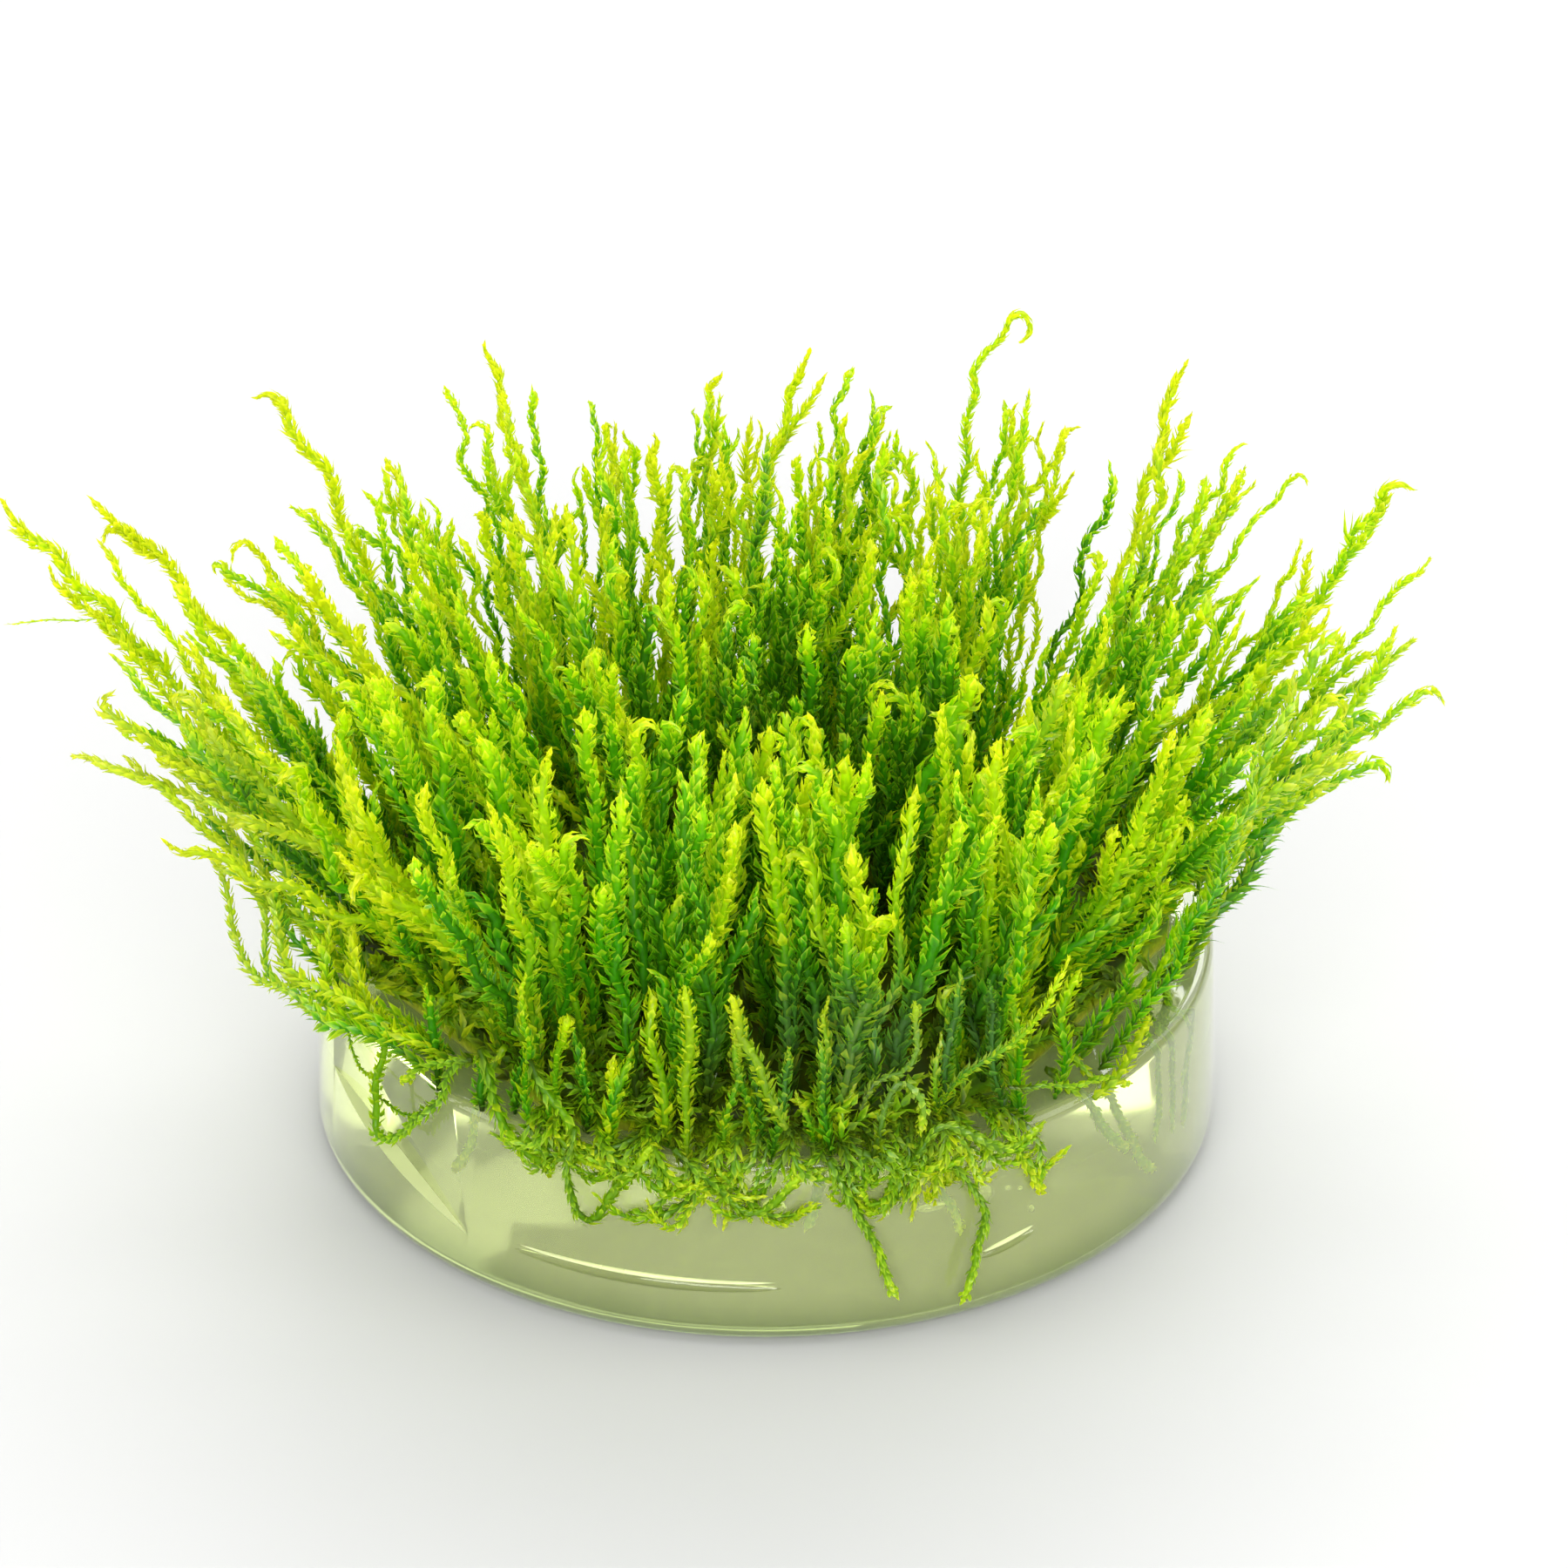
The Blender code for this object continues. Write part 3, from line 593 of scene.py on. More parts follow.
loneShoots = {
    "shoot_far_left": [(-28.6, -0.6), (-34.5, 1.5, 25), (-41.3, 3.5, 33), (-49.3, 5.0, 41.6)],
    "shoot_left_drooping": [(-26.4, -11.2), (-32.2, -11.4, 22.6), (-37.4, -10.2, 28.5), (-43.9, -8.0, 30.5)],
    "shoot_left_low": [(-20.6, -20.6), (-27.4, -18.4, 17.6), (-32.8, -13.6, 18.2), (-35.4, -8.0, 23.5)],
    "shoot_left_hooked": [(-26.6, 10.3), (-32.5, 9.4, 24.5), (-38.6, 9.8, 33.5), (-41.9, 10.0, 37.5)],
    "shoot_left_rear": [(-20.4, 19.8), (-26.0, 21.2, 25), (-29.6, 22.8, 34.5), (-33.1, 24.0, 39.8)],
    "shoot_back_left": [(-11.2, 25.8), (-14.6, 27.4, 25), (-17.3, 29.0, 34), (-19.0, 30.0, 40.9)],
    "shoot_back_middle": [(-0.3, 28.1), (-0.8, 29.0, 26), (1.2, 30.4, 35), (2.7, 31.0, 40.1)],
    "shoot_back_looped": [(10.6, 25.8), (13.0, 27.6, 27), (14.2, 30.6, 38), (16.5, 32.0, 41.9)],
    "shoot_back_right": [(19.8, 19.7), (23.6, 22.8, 25), (26.6, 26.4, 35), (28.1, 28.0, 40.6)],
    "shoot_right_hooked": [(26.0, 10.4), (31.6, 12.4, 24.5), (38.2, 13.6, 32.5), (40.9, 14.0, 38.0)],
    "shoot_right_thin": [(28.2, -0.5), (32.8, 3.6, 23), (38.2, 7.6, 29.6), (43.5, 10.0, 35.2)],
    "shoot_right_low": [(26.0, -11.3), (31.6, -6.0, 21.5), (37.0, 0.2, 27.5), (41.1, 4.0, 32.9)],
    "shoot_right_curled": [(19.9, -20.6), (25.0, -18.4, 21.5), (30.4, -14.6, 31), (33.4, -10.0, 37.3)],
    "shoot_front_right": [(10.6, -26.8), (13.6, -28.6, 20.4), (17.2, -29.2, 24.4), (18.4, -28.4, 27.7)],
}


def coarseCurve(points, count):
    pts = [Vector(p) for p in points]
    ends = [2 * pts[0] - pts[1]] + pts + [2 * pts[-1] - pts[-2]]
    out = []
    for step in range(count):
        place = step / (count - 1) * (len(pts) - 1)
        i = min(int(place), len(pts) - 2)
        out.append(splinePoint(*ends[i:i + 4], place - i))
    return out


def hubPlaces():
    rng = random.Random(layout["seed"])
    centre = Vector((*layout["matCentre"], layout["hubTop"]))
    places = []
    for reach, count in layout["hubRings"]:
        for k in range(count):
            a = 2 * math.pi * (k + 0.5) / count
            place = centre + Vector((math.cos(a), math.sin(a), 0)) * reach
            places.append((place, rng.uniform(0, math.pi / 2)))
    return places


def hubPoint(u, v):
    # a square's point moved onto a disc, as the hubs' feet stand
    return Vector((u * math.sqrt(1 - v * v / 2), v * math.sqrt(1 - u * u / 2), 0)) * layout["hubRadius"]


def shootTip(foot, rng, sway):
    flat = Vector((foot.x, foot.y, 0)) - Vector((*layout["matCentre"], 0))
    share = min(flat.length / layout["matRadius"], 1)
    out = flat.normalized() if flat.length > 0 else Vector((1, 0, 0))
    lean = layout["leanSide"] * out.x ** 2 + layout["leanBack" if out.y > 0 else "leanFront"] * out.y ** 2
    lean = math.radians(lean * share ** 1.4 + rng.uniform(-5, 5))
    rise = layout["rise"] * rng.uniform(0.83, 1.05) * (1 - layout["leanLoss"] * out.x ** 2 * share)
    across = Vector((-out.y, out.x, 0)) * rng.uniform(-1.6, 1.6)
    return foot + out * rise * math.tan(lean) + Vector((0, 0, rise)) + across + sway


def shootCurve(foot, tip, rng, bow):
    middle = (foot + tip) / 2 + Vector((tip.x - foot.x, tip.y - foot.y, 0)) * 0.15 + bow
    hook = Vector((rng.uniform(-1, 1), rng.uniform(-1, 1), 0)) * layout["hook"]
    path = []
    for k in range(layout["levels"]):
        t = k / (layout["levels"] - 1)
        path.append((1 - t) ** 2 * foot + 2 * t * (1 - t) * middle + t * t * tip + hook * t ** 4)
    return path


def settlePaths(paths, fixed):
    # pushes neighbours apart; the feet and the lone shoots stay where they are
    levels, clearance = layout["levels"], layout["clearance"]
    count = len(paths)
    flat = np.array([[tuple(p) for p in path] for path in paths]).reshape(-1, 3)
    owner = np.repeat(np.arange(count), levels)
    held = np.array([[k == 0 or i < fixed for k in range(levels)] for i in range(count)]).ravel()
    for turn in range(layout["rounds"]):
        if turn % 12 == 0:  # the pairs worth looking at for the next few rounds
            apart = flat[:, None, :] - flat[None, :, :]
            near = np.einsum("ijk,ijk->ij", apart, apart) < (clearance + 4) ** 2
            one, two = np.nonzero(near & (owner[:, None] != owner[None, :]))
        apart = flat[one] - flat[two]
        gap = np.sqrt((apart ** 2).sum(1)) + 1e-6
        push = np.where(gap < clearance, (clearance - gap) / gap, 0)[:, None] * apart
        step = np.column_stack([np.bincount(one, push[:, k], len(flat)) for k in range(3)]) * 0.45
        step[held] = 0
        flat = flat + step
        bend = flat.reshape(count, levels, 3)
        eased = bend.copy()
        eased[:, 1:-1] += 0.12 * (bend[:, 2:] + bend[:, :-2] - 2 * bend[:, 1:-1])
        flat = np.where(held[:, None], flat, eased.reshape(-1, 3))
    return flat.reshape(count, levels, 3)


def layPaths():
    rng = random.Random(layout["seed"] + 1)
    paths = []
    for points in loneShoots.values():
        foot = (*points[0], layout["hubBottom"])
        paths.append(coarseCurve([foot] + points[1:], layout["levels"]))
    feet = []
    for centre, turn in hubPlaces():
        spin = Matrix.Rotation(turn, 3, "Z")
        for column, row in ((1, 1), (0, 0), (2, 0), (0, 2), (2, 2)):
            corners = [hubPoint((column + i) * 2 / 3 - 1, (row + j) * 2 / 3 - 1)
                       for i in (0, 1) for j in (0, 1)]
            feet.append(centre + spin @ (sum(corners, Vector()) / 4))
    for i, foot in enumerate(feet):
        if i % 5 == 0:
            sway = Vector((rng.uniform(-1, 1), rng.uniform(-1, 1), 0)) * layout["sway"]
            bow = Vector((rng.uniform(-1, 1), rng.uniform(-1, 1), 0)) * layout["bow"]
        paths.append(shootCurve(foot, shootTip(foot, rng, sway), rng, bow))
    return settlePaths(paths, len(loneShoots))


paths = layPaths()
hubs = hubPlaces()
print("paths laid for", len(paths), "shoots")


# the mat: a lumpy pad under a tangle of creeping stems; angles in degrees, the rest in millimetres
matLook = {
    "drawn": ((25.6, 216), (24.6, 328)),  # how near to the middle the mat ends, and at which angle
    "padDrawn": ((24.8, 216), (23.8, 328), (21.5, 106)),  # the pad under it, so that light gets through
    "padRadius": 26.8, "padHeight": 2.9, "padLow": 13.15, "lump": 1.5, "lumpScale": 3.2, "padRings": 9,
    # the underside's marks are painted light, so that it looks lit where it shows through the gel
    "padInset": 2.6, "padBevel": 0.9, "padTone": 0.3, "padGrown": 0.1, "underLitMarks": 1.1,
    "stems": 310, "stemBand": (14.8, 17.2), "stemLow": 14.0, "stemHigh": 18.6, "stride": 1.7,
    "overhang": 120, "front": (240, 345), "around": (120, 420),
    # how far the fringe hangs down the wall, by angle
    "fringe": ((120, 0.4), (190, 0.3), (238, 0.2), (241, 2.2), (248, 1.4), (256, 1.6), (263, 3.6), (271, 3.6),
               (279, 1.8), (288, 3.0), (300, 3.4), (310, 1.6), (322, 1.2), (345, 0.8), (365, 0.3),
               (420, 0.3)),
    "cover": 60, "coverLeft": (204, 264), "coverRight": (298, 340),  # short stems where the mat is drawn in
}

# single stems on and in the wall: girth, leaf, tone, how far off the wall, (angle, height) from the moss down
strands = (
    (0.32, 0.5, 0.2, 0.8, ((233, 17.8), (230, 16.6), (226.9, 13.3), (220.1, 9.4), (215.8, 8.2), (215.1, 10.3),
                           (217.1, 15.1), (217.5, 18))),
    (0.3, 0.42, 0.3, 0.8, ((233, 17.6), (229.6, 17), (225.6, 15.6), (220.5, 13.3))),
    (0.12, 0.3, 0.2, 0.7, ((215.7, 10.8), (222, 11.3), (226.9, 13))),
    (0.3, 0.5, 0.8, -1.2, ((235, 18), (233.4, 16.6), (230.9, 13.2), (229.5, 9.7), (227.2, 7.5))),
    (0.11, 0.3, 0.2, 0.1, ((201, 15.5), (203.1, 13.4), (206.8, 11.6), (213.7, 10.9))),
    (0.42, 0.75, 0.5, 0.6, ((234, 18.6), (235.4, 16.7), (237.1, 13.8), (240.1, 12.1), (243.7, 12),
                            (246.6, 14.7))),
    (0.4, 0.7, 0.4, 0.5, ((241, 19), (242.7, 17.3), (246.1, 15.3), (246.6, 13.4))),
    (0.24, 0.5, 0.9, -0.8, ((290.5, 13.6), (291.8, 10.4), (293.5, 8.5), (294.7, 6.4))),
    (0.4, 0.5, 0.95, 0.5, ((299, 15), (301, 12.9), (302.9, 10.6), (305.6, 8.1))),
    (0.26, 0.5, 0.8, -1.0, ((311, 17), (315.1, 14.5), (320.3, 10.6), (324.4, 6.2), (328.9, 3.9))),
    (0.3, 0.55, 0.5, -0.8, ((308, 16), (312.2, 13.9), (318.8, 9), (322.4, 7.1))),
    (0.22, 0.5, 0.3, -1.4, ((322, 18.5), (325.2, 17.2), (330, 13.2), (330.5, 9.1), (329.8, 5.6))),
    (0.2, 0.5, 0.3, -1.4, ((331, 17.5), (334.7, 15.7), (340.6, 10.7), (337.7, 7.6))),
    (0.2, 0.5, 0.2, -1.6, ((330, 16.5), (333, 13.5), (335, 9.5), (334.5, 5))),
    (0.24, 0.45, 0.4, 0.7, ((300, 17), (303.9, 16.2), (312.1, 15), (320.1, 13.2))),
    (0.36, 0.6, 1.0, 0.8, ((313, 13.6), (317.5, 14.5), (320.7, 15.7), (323.3, 17.2))),
    (0.3, 0.5, 0.7, 1.2, ((282.5, 14.2), (283.6, 16.4), (284.6, 18.5), (286.1, 19.6), (288.3, 17.8),
                          (288.4, 15.3))),
    (0.3, 0.5, 0.8, 1.4, ((281, 18), (282.5, 19.6), (286, 20.4), (287.7, 22.4), (287.1, 25.2))),
    (0.42, 0.6, 0.9, 1.0, ((261, 14), (260.8, 18), (261.4, 22), (261, 26.6))),
    (0.4, 0.62, 1.0, 1.2, ((272.5, 16.8), (270, 20), (267.6, 23.4), (266.2, 26.4))),
)


# tufts: each has five main shoots, thinner ones between them, and short ones low down
tuftLook = {
    "girth": (0.42, 0.64), "leaf": 0.8, "pitch": 0.154, "width": 0.34, "coarse": (0.85, 1.3),
    "extra": 6, "short": 7, "thinner": 0.82, "shortKeep": (0.2, 0.62), "shortGrown": (0.45, 0.75),
    "tone": (-0.25, 0.95), "stand": (0.42, 0.85), "flat": (0.55, 0.85), "sheath": (0, 0.8),
    "wave": (0.1, 0.3), "bow": (0.5, 2.0),
    "forks": 0.3, "hooks": 0.34, "blunt": 0.34, "curlRadius": (0.45, 1.0), "curlTurn": (50, 180),
    # thin shoots that lean out at the flanks
    "leaning": 0.6, "leftReach": (3, 12), "rightReach": (1, 7), "sag": 0.42,
    # tufts that stay short, so that a dark gap shows behind them
    "lower": {0: 0.84, 5: 0.74, 6: 0.9, 15: 0.86},
    "frontAt": (-2, -20), "backAt": (0, 18), "flankAt": (12, 20),
}

# short shoots that stand on the very rim in front
skirtLook = {
    "shoots": 6, "beyond": 20, "from": 228, "to": 306, "spread": 11, "rise": (2.5, 10),
    "off": (-1.6, 0.3), "drift": 4, "girth": (0.34, 0.56), "leaf": (0.5, 0.72), "pitch": 0.13,
    "width": 0.31, "stand": (0.6, 0.9), "tone": (-0.1, 0.95), "grown": (0.5, 1.0), "wave": 0.2,
    "sheath": 0.5,
}


def pick(rng, span):
    return rng.uniform(*span)


def flatDrift(rng):
    return np.array((rng.uniform(-1, 1), rng.uniform(-1, 1), 0))


def pickEnd(rng):
    roll = rng.random()
    if roll < tuftLook["hooks"]:
        return "hook"
    return "blunt" if roll < tuftLook["hooks"] + tuftLook["blunt"] else "point"


def forkOff(heap, rng, spine, ahead, side, girth, tone, film):
    place = rng.uniform(0.45, 0.82)
    i = int(place * (len(spine) - 1))
    way, out = ahead[i], side[i] * rng.choice((-1, 1)) + np.array((0, 0, 0.15))
    reach = rng.uniform(3.5, 8)
    foot = spine[i]
    points = [foot, foot + 1.3 * (0.75 * way + 0.66 * out), foot + reach * 0.55 * (0.92 * way + 0.36 * out),
              foot + reach * (0.97 * way + 0.25 * out)]
    growShoot(heap, points, girth * 0.85, 0.85, 0.16, 0.9, rng.choice(("point", "blunt")), tone, film,
              grownFrom=place * 0.9, wave=0.08, sheath=0.3)


# the gel's wall: its radius at the foot, and how much it draws in between the foot's rounding and the rim's
wallLook = {"radius": 30, "drawsIn": 0.5, "foot": 1.8, "high": 10.9}
topRadius = wallLook["radius"] - wallLook["drawsIn"]


def wallPoint(angle, height, off):
    a = math.radians(angle)
    share = min(max((height - wallLook["foot"]) / wallLook["high"], 0), 1)
    radius = wallLook["radius"] - wallLook["drawsIn"] * share + off
    return np.array((radius * math.cos(a), radius * math.sin(a), height))


def rimLimit(angle, table="drawn"):
    # how far out the mat reaches: less where the rim is chipped and at the front right
    return min(28.4, *(near / math.cos(math.radians(min(abs((angle - middle + 180) % 360 - 180), 60)))
                       for near, middle in matLook[table]))


def drawBack(path):
    # sets the foot on the mat; the shoot leans out again on its way up
    out = path[0, :2] - np.array(layout["matCentre"])
    limit = rimLimit(math.degrees(math.atan2(out[1], out[0]))) - 0.8
    away = np.array((*out, 0)) * (min(1, limit / max(np.hypot(*out), 1)) - 1)
    path = path + away * (1 - np.linspace(0, 1, len(path))[:, None]) ** 2
    path[0, 2] = layout["matTop"] - 0.6
    return path


def thinShoots(rng, shoots, centre, tall, front, back):
    # part of the way between two neighbours, then their own way
    look = tuftLook
    t = np.linspace(0, 1, layout["levels"])[:, None]
    flank = float(smoothStep(*look["flankAt"], abs(centre[0])))
    for k in range(tall + look["short"]):
        a, b = rng.sample(range(5), 2)
        share = rng.uniform(0.2, 0.8)
        path = shoots[a] * share + shoots[b] * (1 - share)
        drift = flatDrift(rng) * (2.4 + 2.4 * front)
        if k < tall and rng.random() < look["leaning"] * flank:
            far = pick(rng, look["leftReach"] if centre[0] < 0 else look["rightReach"])
            drift += np.array((math.copysign(far, centre[0]), 0, -look["sag"] * far))
        path = path + drift * t ** 1.3 + flatDrift(rng) * 1.3
        keep = rng.uniform(0.6 + 0.15 * back, 1.05) if k < tall else pick(rng, look["shortKeep"])
        shoots.append(path[0] + (path - path[0]) * keep)


def growSkirt(heap, rng, middle):
    look = skirtLook
    for k in range(look["shoots"]):
        a = middle + rng.uniform(-look["spread"], look["spread"])
        rise, off = pick(rng, look["rise"]), pick(rng, look["off"])
        drift = rng.uniform(-look["drift"], look["drift"])
        path = [wallPoint(a, 13.7, off), wallPoint(a + 0.2 * drift, 15.5, off + 0.3),
                wallPoint(a + 0.6 * drift, 15 + 0.6 * rise, off - 0.2),
                wallPoint(a + drift, 15 + rise, off - rng.uniform(-0.9, 1.5))]
        growShoot(heap, path, pick(rng, look["girth"]), pick(rng, look["leaf"]), look["pitch"],
                  pick(rng, look["stand"]), pickEnd(rng), pick(rng, look["tone"]), rng.random() * 0.5, 0.1,
                  pick(rng, look["grown"]), wave=look["wave"], width=look["width"], sheath=look["sheath"])


def makeTuft(index):
    look = tuftLook
    rng = random.Random(100 + index)
    heap = []
    first = len(loneShoots) + index * 5
    centre = np.array(hubs[index][0])
    front = float(smoothStep(*look["frontAt"], centre[1]))
    back = float(smoothStep(*look["backAt"], centre[1]))
    tall = round(look["extra"] * (1 + 0.45 * back))
    shoots = [path[0] + (path - path[0]) * look["lower"].get(index, 1) for path in paths[first:first + 5]]
    thinShoots(rng, shoots, centre, tall, front, back)
    for k, path in enumerate(shoots):
        main, short = k < 5, k >= 5 + tall
        girth = pick(rng, look["girth"]) * (1 + 0.3 * front - 0.34 * back) * (1 if main else look["thinner"])
        # painted light: the tufts in front are a little paler, as if lit from the front
        tone, film = pick(rng, look["tone"]) + 0.1 * front, rng.random() ** 2
        end = pickEnd(rng)
        # each sways a little off its straight way
        bow = flatDrift(rng) * pick(rng, look["bow"])
        path = path + bow * np.sin(math.pi * rng.uniform(0.8, 1.7) * np.linspace(0, 1, len(path)))[:, None]
        if end == "hook":
            away = path[-1] - path[0]
            sideways = (rng.uniform(-1, 1) + 0.4 * away[0] / 10, rng.uniform(-1, 1), -0.4)
            radius, turn = pick(rng, look["curlRadius"]), pick(rng, look["curlTurn"])
            path = curlEnd(path[:-1] if main else path, radius, turn, sideways)
        coarse = pick(rng, look["coarse"])  # some shoots have coarser leaves
        leaf = look["leaf"] * (1 + 0.1 * front - 0.2 * back) * coarse
        pitch = look["pitch"] * (1 if main else 1.12) * coarse
        stand = pick(rng, look["stand"]) * (1 - 0.15 * back)
        grownTo = pick(rng, look["shortGrown"]) if short else 1.0
        wave = pick(rng, look["wave"]) + 0.16 * back
        flat, sheath = pick(rng, look["flat"]), pick(rng, look["sheath"])
        spine, ahead, side = growShoot(heap, drawBack(path), girth, leaf, pitch, stand, end, tone, film * 0.5,
                                       grownTo=grownTo, width=look["width"] * coarse, wave=wave, flat=flat,
                                       sheath=sheath)
        if not short and rng.random() < look["forks"]:
            forkOff(heap, rng, spine, ahead, side, girth, tone, film)
    angle = math.degrees(math.atan2(centre[1], centre[0])) % 360
    if np.hypot(centre[0], centre[1]) > skirtLook["beyond"] and skirtLook["from"] < angle < skirtLook["to"]:
        growSkirt(heap, rng, angle)
    return heap


tuftTriangles = 0
for index in range(len(hubs)):
    name = f"tuft_{index + 1:02d}"
    tuftTriangles += becomePiece(makeTuft(index), name, mossMaterials["mossShoots"],
                                 "moss_" + name)
print("tufts made", tuftTriangles, "triangles")


# the lone shoots of the outline
loneLook = {
    "girth": 0.4, "leaf": 0.92, "pitch": 0.13, "width": 0.38, "wave": 0.22, "film": 0.3, "forks": 0.4,
    "curl": 0.8,
    "slim": {"shoot_front_right": 0.62, "shoot_left_low": 0.7, "shoot_back_looped": 0.8,
             "shoot_right_thin": 0.75},
    # thinner shoots that run close to a lone one
    "company": {"shoot_far_left": 5, "shoot_left_low": 7, "shoot_left_drooping": 4, "shoot_right_low": 3,
                "shoot_back_looped": 2, "shoot_left_hooked": 2, "shoot_right_hooked": 2,
                "shoot_right_curled": 2},
    # a bare thread that hangs off to the left
    "thread": [(-42.2, 3.6, 34.2), (-44.6, 4.2, 33.7), (-47.2, 4.6, 33.4), (-49.6, 5.0, 33.0)],
}
loneEnds = {
    "shoot_left_hooked": ("hook", 150, (-1, 0, -0.5)), "shoot_back_looped": ("hook", 200, (1, 0, -0.2)),
    "shoot_right_hooked": ("hook", 120, (1, 0, -0.3)), "shoot_left_rear": ("hook", 80, (-1, 0, 0.3)),
}


def keepCompany(heap, rng, path, girth):
    t = np.linspace(0, 1, len(path))[:, None]
    inwards = -math.copysign(rng.uniform(0.4, 3.2), path[-1][0])
    drift = np.array((inwards, rng.uniform(-1.5, 1.5), rng.uniform(-0.5, 2.2)))
    start = np.array((rng.uniform(-1.2, 1.2), rng.uniform(-1.2, 1.2), rng.uniform(-0.4, 0.6)))
    near = path[0] + (path - path[0]) * rng.uniform(0.5, 0.9) + drift * t ** 1.2 + start
    growShoot(heap, near, girth * rng.uniform(0.6, 0.9), 0.8, 0.15, rng.uniform(0.8, 1.2), pickEnd(rng),
              rng.uniform(0.3, 0.95), 0.3, 0.1, 1.0, width=0.33, wave=0.3)


def makeLoneShoot(number, name):
    look = loneLook
    rng = random.Random(300 + number)
    heap = []
    path = np.array(paths[number])
    end = "point"
    if name in loneEnds:
        end, turn, way = loneEnds[name]
        path = curlEnd(path, look["curl"], turn, way)
    path[0][2] = layout["matTop"] - 0.6
    slim = look["slim"].get(name, 1)
    girth = look["girth"] * rng.uniform(0.9, 1.1) * slim
    tone = rng.uniform(0.4, 0.9)
    spine, ahead, side = growShoot(heap, path, girth, look["leaf"] * slim, look["pitch"], 1.0, end, tone,
                                   look["film"], kind="fine", width=look["width"] * slim, wave=look["wave"])
    if rng.random() < look["forks"]:
        forkOff(heap, rng, spine, ahead, side, girth, tone, 0.2)
    for k in range(look["company"].get(name, 0)):
        keepCompany(heap, rng, path[:layout["levels"]], girth / slim)
    if name == "shoot_far_left":
        growShoot(heap, look["thread"], 0.14, 0.4, 0.4, 0.5, "point", 0.6, 0.0, 0.3, 0.7,
                  width=0.15, wave=0.1)
    return heap


for number, name in enumerate(loneShoots):
    becomePiece(makeLoneShoot(number, name), "leafy_" + name, mossMaterials["mossShoots"], name)
print("lone shoots made")


# stems that hang down the wall: (angle in degrees, height)
wallStems = {
    "trailing_stem_loop": [(247.4, 15.2), (246.4, 11.9), (247.2, 9.2), (249.6, 9.0), (252.6, 11.4),
                           (256.7, 14.9)],
    "trailing_stem_middle": [(277.5, 14.2), (279.7, 11.6), (282.4, 8.4), (285.5, 3.7)],
    "trailing_stem_right": [(292.6, 12.6), (295.7, 10.0), (296.3, 7.2), (293.6, 2.4)],
    "creeping_stem_left": [(259.5, 14.9), (264.0, 12.4), (268.6, 10.6), (274.5, 13.4)],
    "creeping_stem_right": [(281.5, 14.6), (286.5, 13.0), (291.0, 15.6), (299.5, 12.6), (304.5, 13.8)],
}
# places in the gel, in millimetres
sunkStems = {
    "sunk_stem_right": [(25.6, -6.2, 13.4), (25.9, -7.6, 9.5), (25.0, -8.4, 3.4)],
    "sunk_stem_front": [(3.4, -24.2, 13.4), (3.2, -25.0, 10.4), (2.6, -25.6, 6.8)],
}
wallStemLook = {
    "girth": 0.42, "leaf": 0.56, "pitch": 0.13, "stand": 0.7, "tone": 0.45, "film": 0.4,
    "grownFrom": 0.25, "grownTo": 0.9, "kind": "fine", "width": 0.26, "wave": 0.12, "core": 0.8,
}
sunkStemLook = {
    "girth": 0.5, "leaf": 0.6, "pitch": 0.2, "stand": 0.4, "tone": 0.6, "film": 0.0,
    "grownFrom": 0.3, "grownTo": 0.8, "width": 0.3, "wave": 0.15, "core": 0.85,
}
stemOff = 1.05  # how far off the wall they hang

for name, points in (wallStems | sunkStems).items():
    heap = []
    if name in wallStems:
        growShoot(heap, [wallPoint(a, h, stemOff) for a, h in points], end="blunt", **wallStemLook)
    else:
        growShoot(heap, points, end="blunt", **sunkStemLook)
    becomePiece(heap, "leafy_" + name, mossMaterials["mossStems"], name)
print("stems made")


def makePad():
    # the pad that everything grows from: a low drum, inset ring by ring and then made lumpy
    look = matLook
    top = (look["padLow"] + look["padHeight"]) * mm
    place = [side * mm for side in (*layout["matCentre"], look["padLow"] + look["padHeight"] / 2)]
    selectNothing()
    bpy.ops.mesh.primitive_cylinder_add(vertices=72, radius=look["padRadius"] * mm,
                                        depth=look["padHeight"] * mm, location=place)
    pad = bpy.context.object
    pad.name = "pad"
    bakePlace(pad)
    editWhere(pad, lambda f: f.normal.z > 0.9, "FACE")
    for ring in range(look["padRings"]):
        bpy.ops.mesh.inset(thickness=look["padInset"] * mm)

    def onRim(edge):
        if not edge.is_manifold or any(v.co.z < top - 1e-6 for v in edge.verts):
            return False
        one, two = edge.link_faces
        return abs(one.normal.z - two.normal.z) > 0.5

    editWhere(pad, onRim, "EDGE")
    bpy.ops.mesh.bevel(offset=look["padBevel"] * mm, segments=3)
    selectNothing()
    clouds = bpy.data.textures.new("padLumps", "CLOUDS")
    clouds.noise_scale = look["lumpScale"] * mm
    lumps = pad.modifiers.new("lumps", "DISPLACE")
    lumps.texture = clouds
    lumps.texture_coords = "GLOBAL"
    lumps.strength = look["lump"] * mm
    lumps.mid_level = 0.6
    applyModifiers(pad)
    for vert in pad.data.vertices:
        vert.co.z = max(vert.co.z, look["padLow"] * mm)
        reach = math.hypot(vert.co.x, vert.co.y) / mm
        if reach > 19:
            vert.co.xy *= min(1, rimLimit(math.degrees(math.atan2(vert.co.y, vert.co.x)), "padDrawn") / reach)
    points = np.array([v.co[:] for v in pad.data.vertices]) / mm
    pad.data.calc_loop_triangles()
    faces = np.array([t.vertices[:] for t in pad.data.loop_triangles])
    bpy.data.objects.remove(pad)
    marks = np.zeros((len(points), len(markNames)))
    marks[:, 0:2] = look["padTone"], look["padGrown"]
    under = points[:, 2] < layout["matTop"] - 2  # painted light: underneath, where it shows through the gel, it takes the pale tip colour and the fullest glow, as if lit
    marks[under, 0:3] = look["underLitMarks"]
    marks[under, 4] = 1
    marks[:, 3] = -3  # never wet
    return points, faces, marks


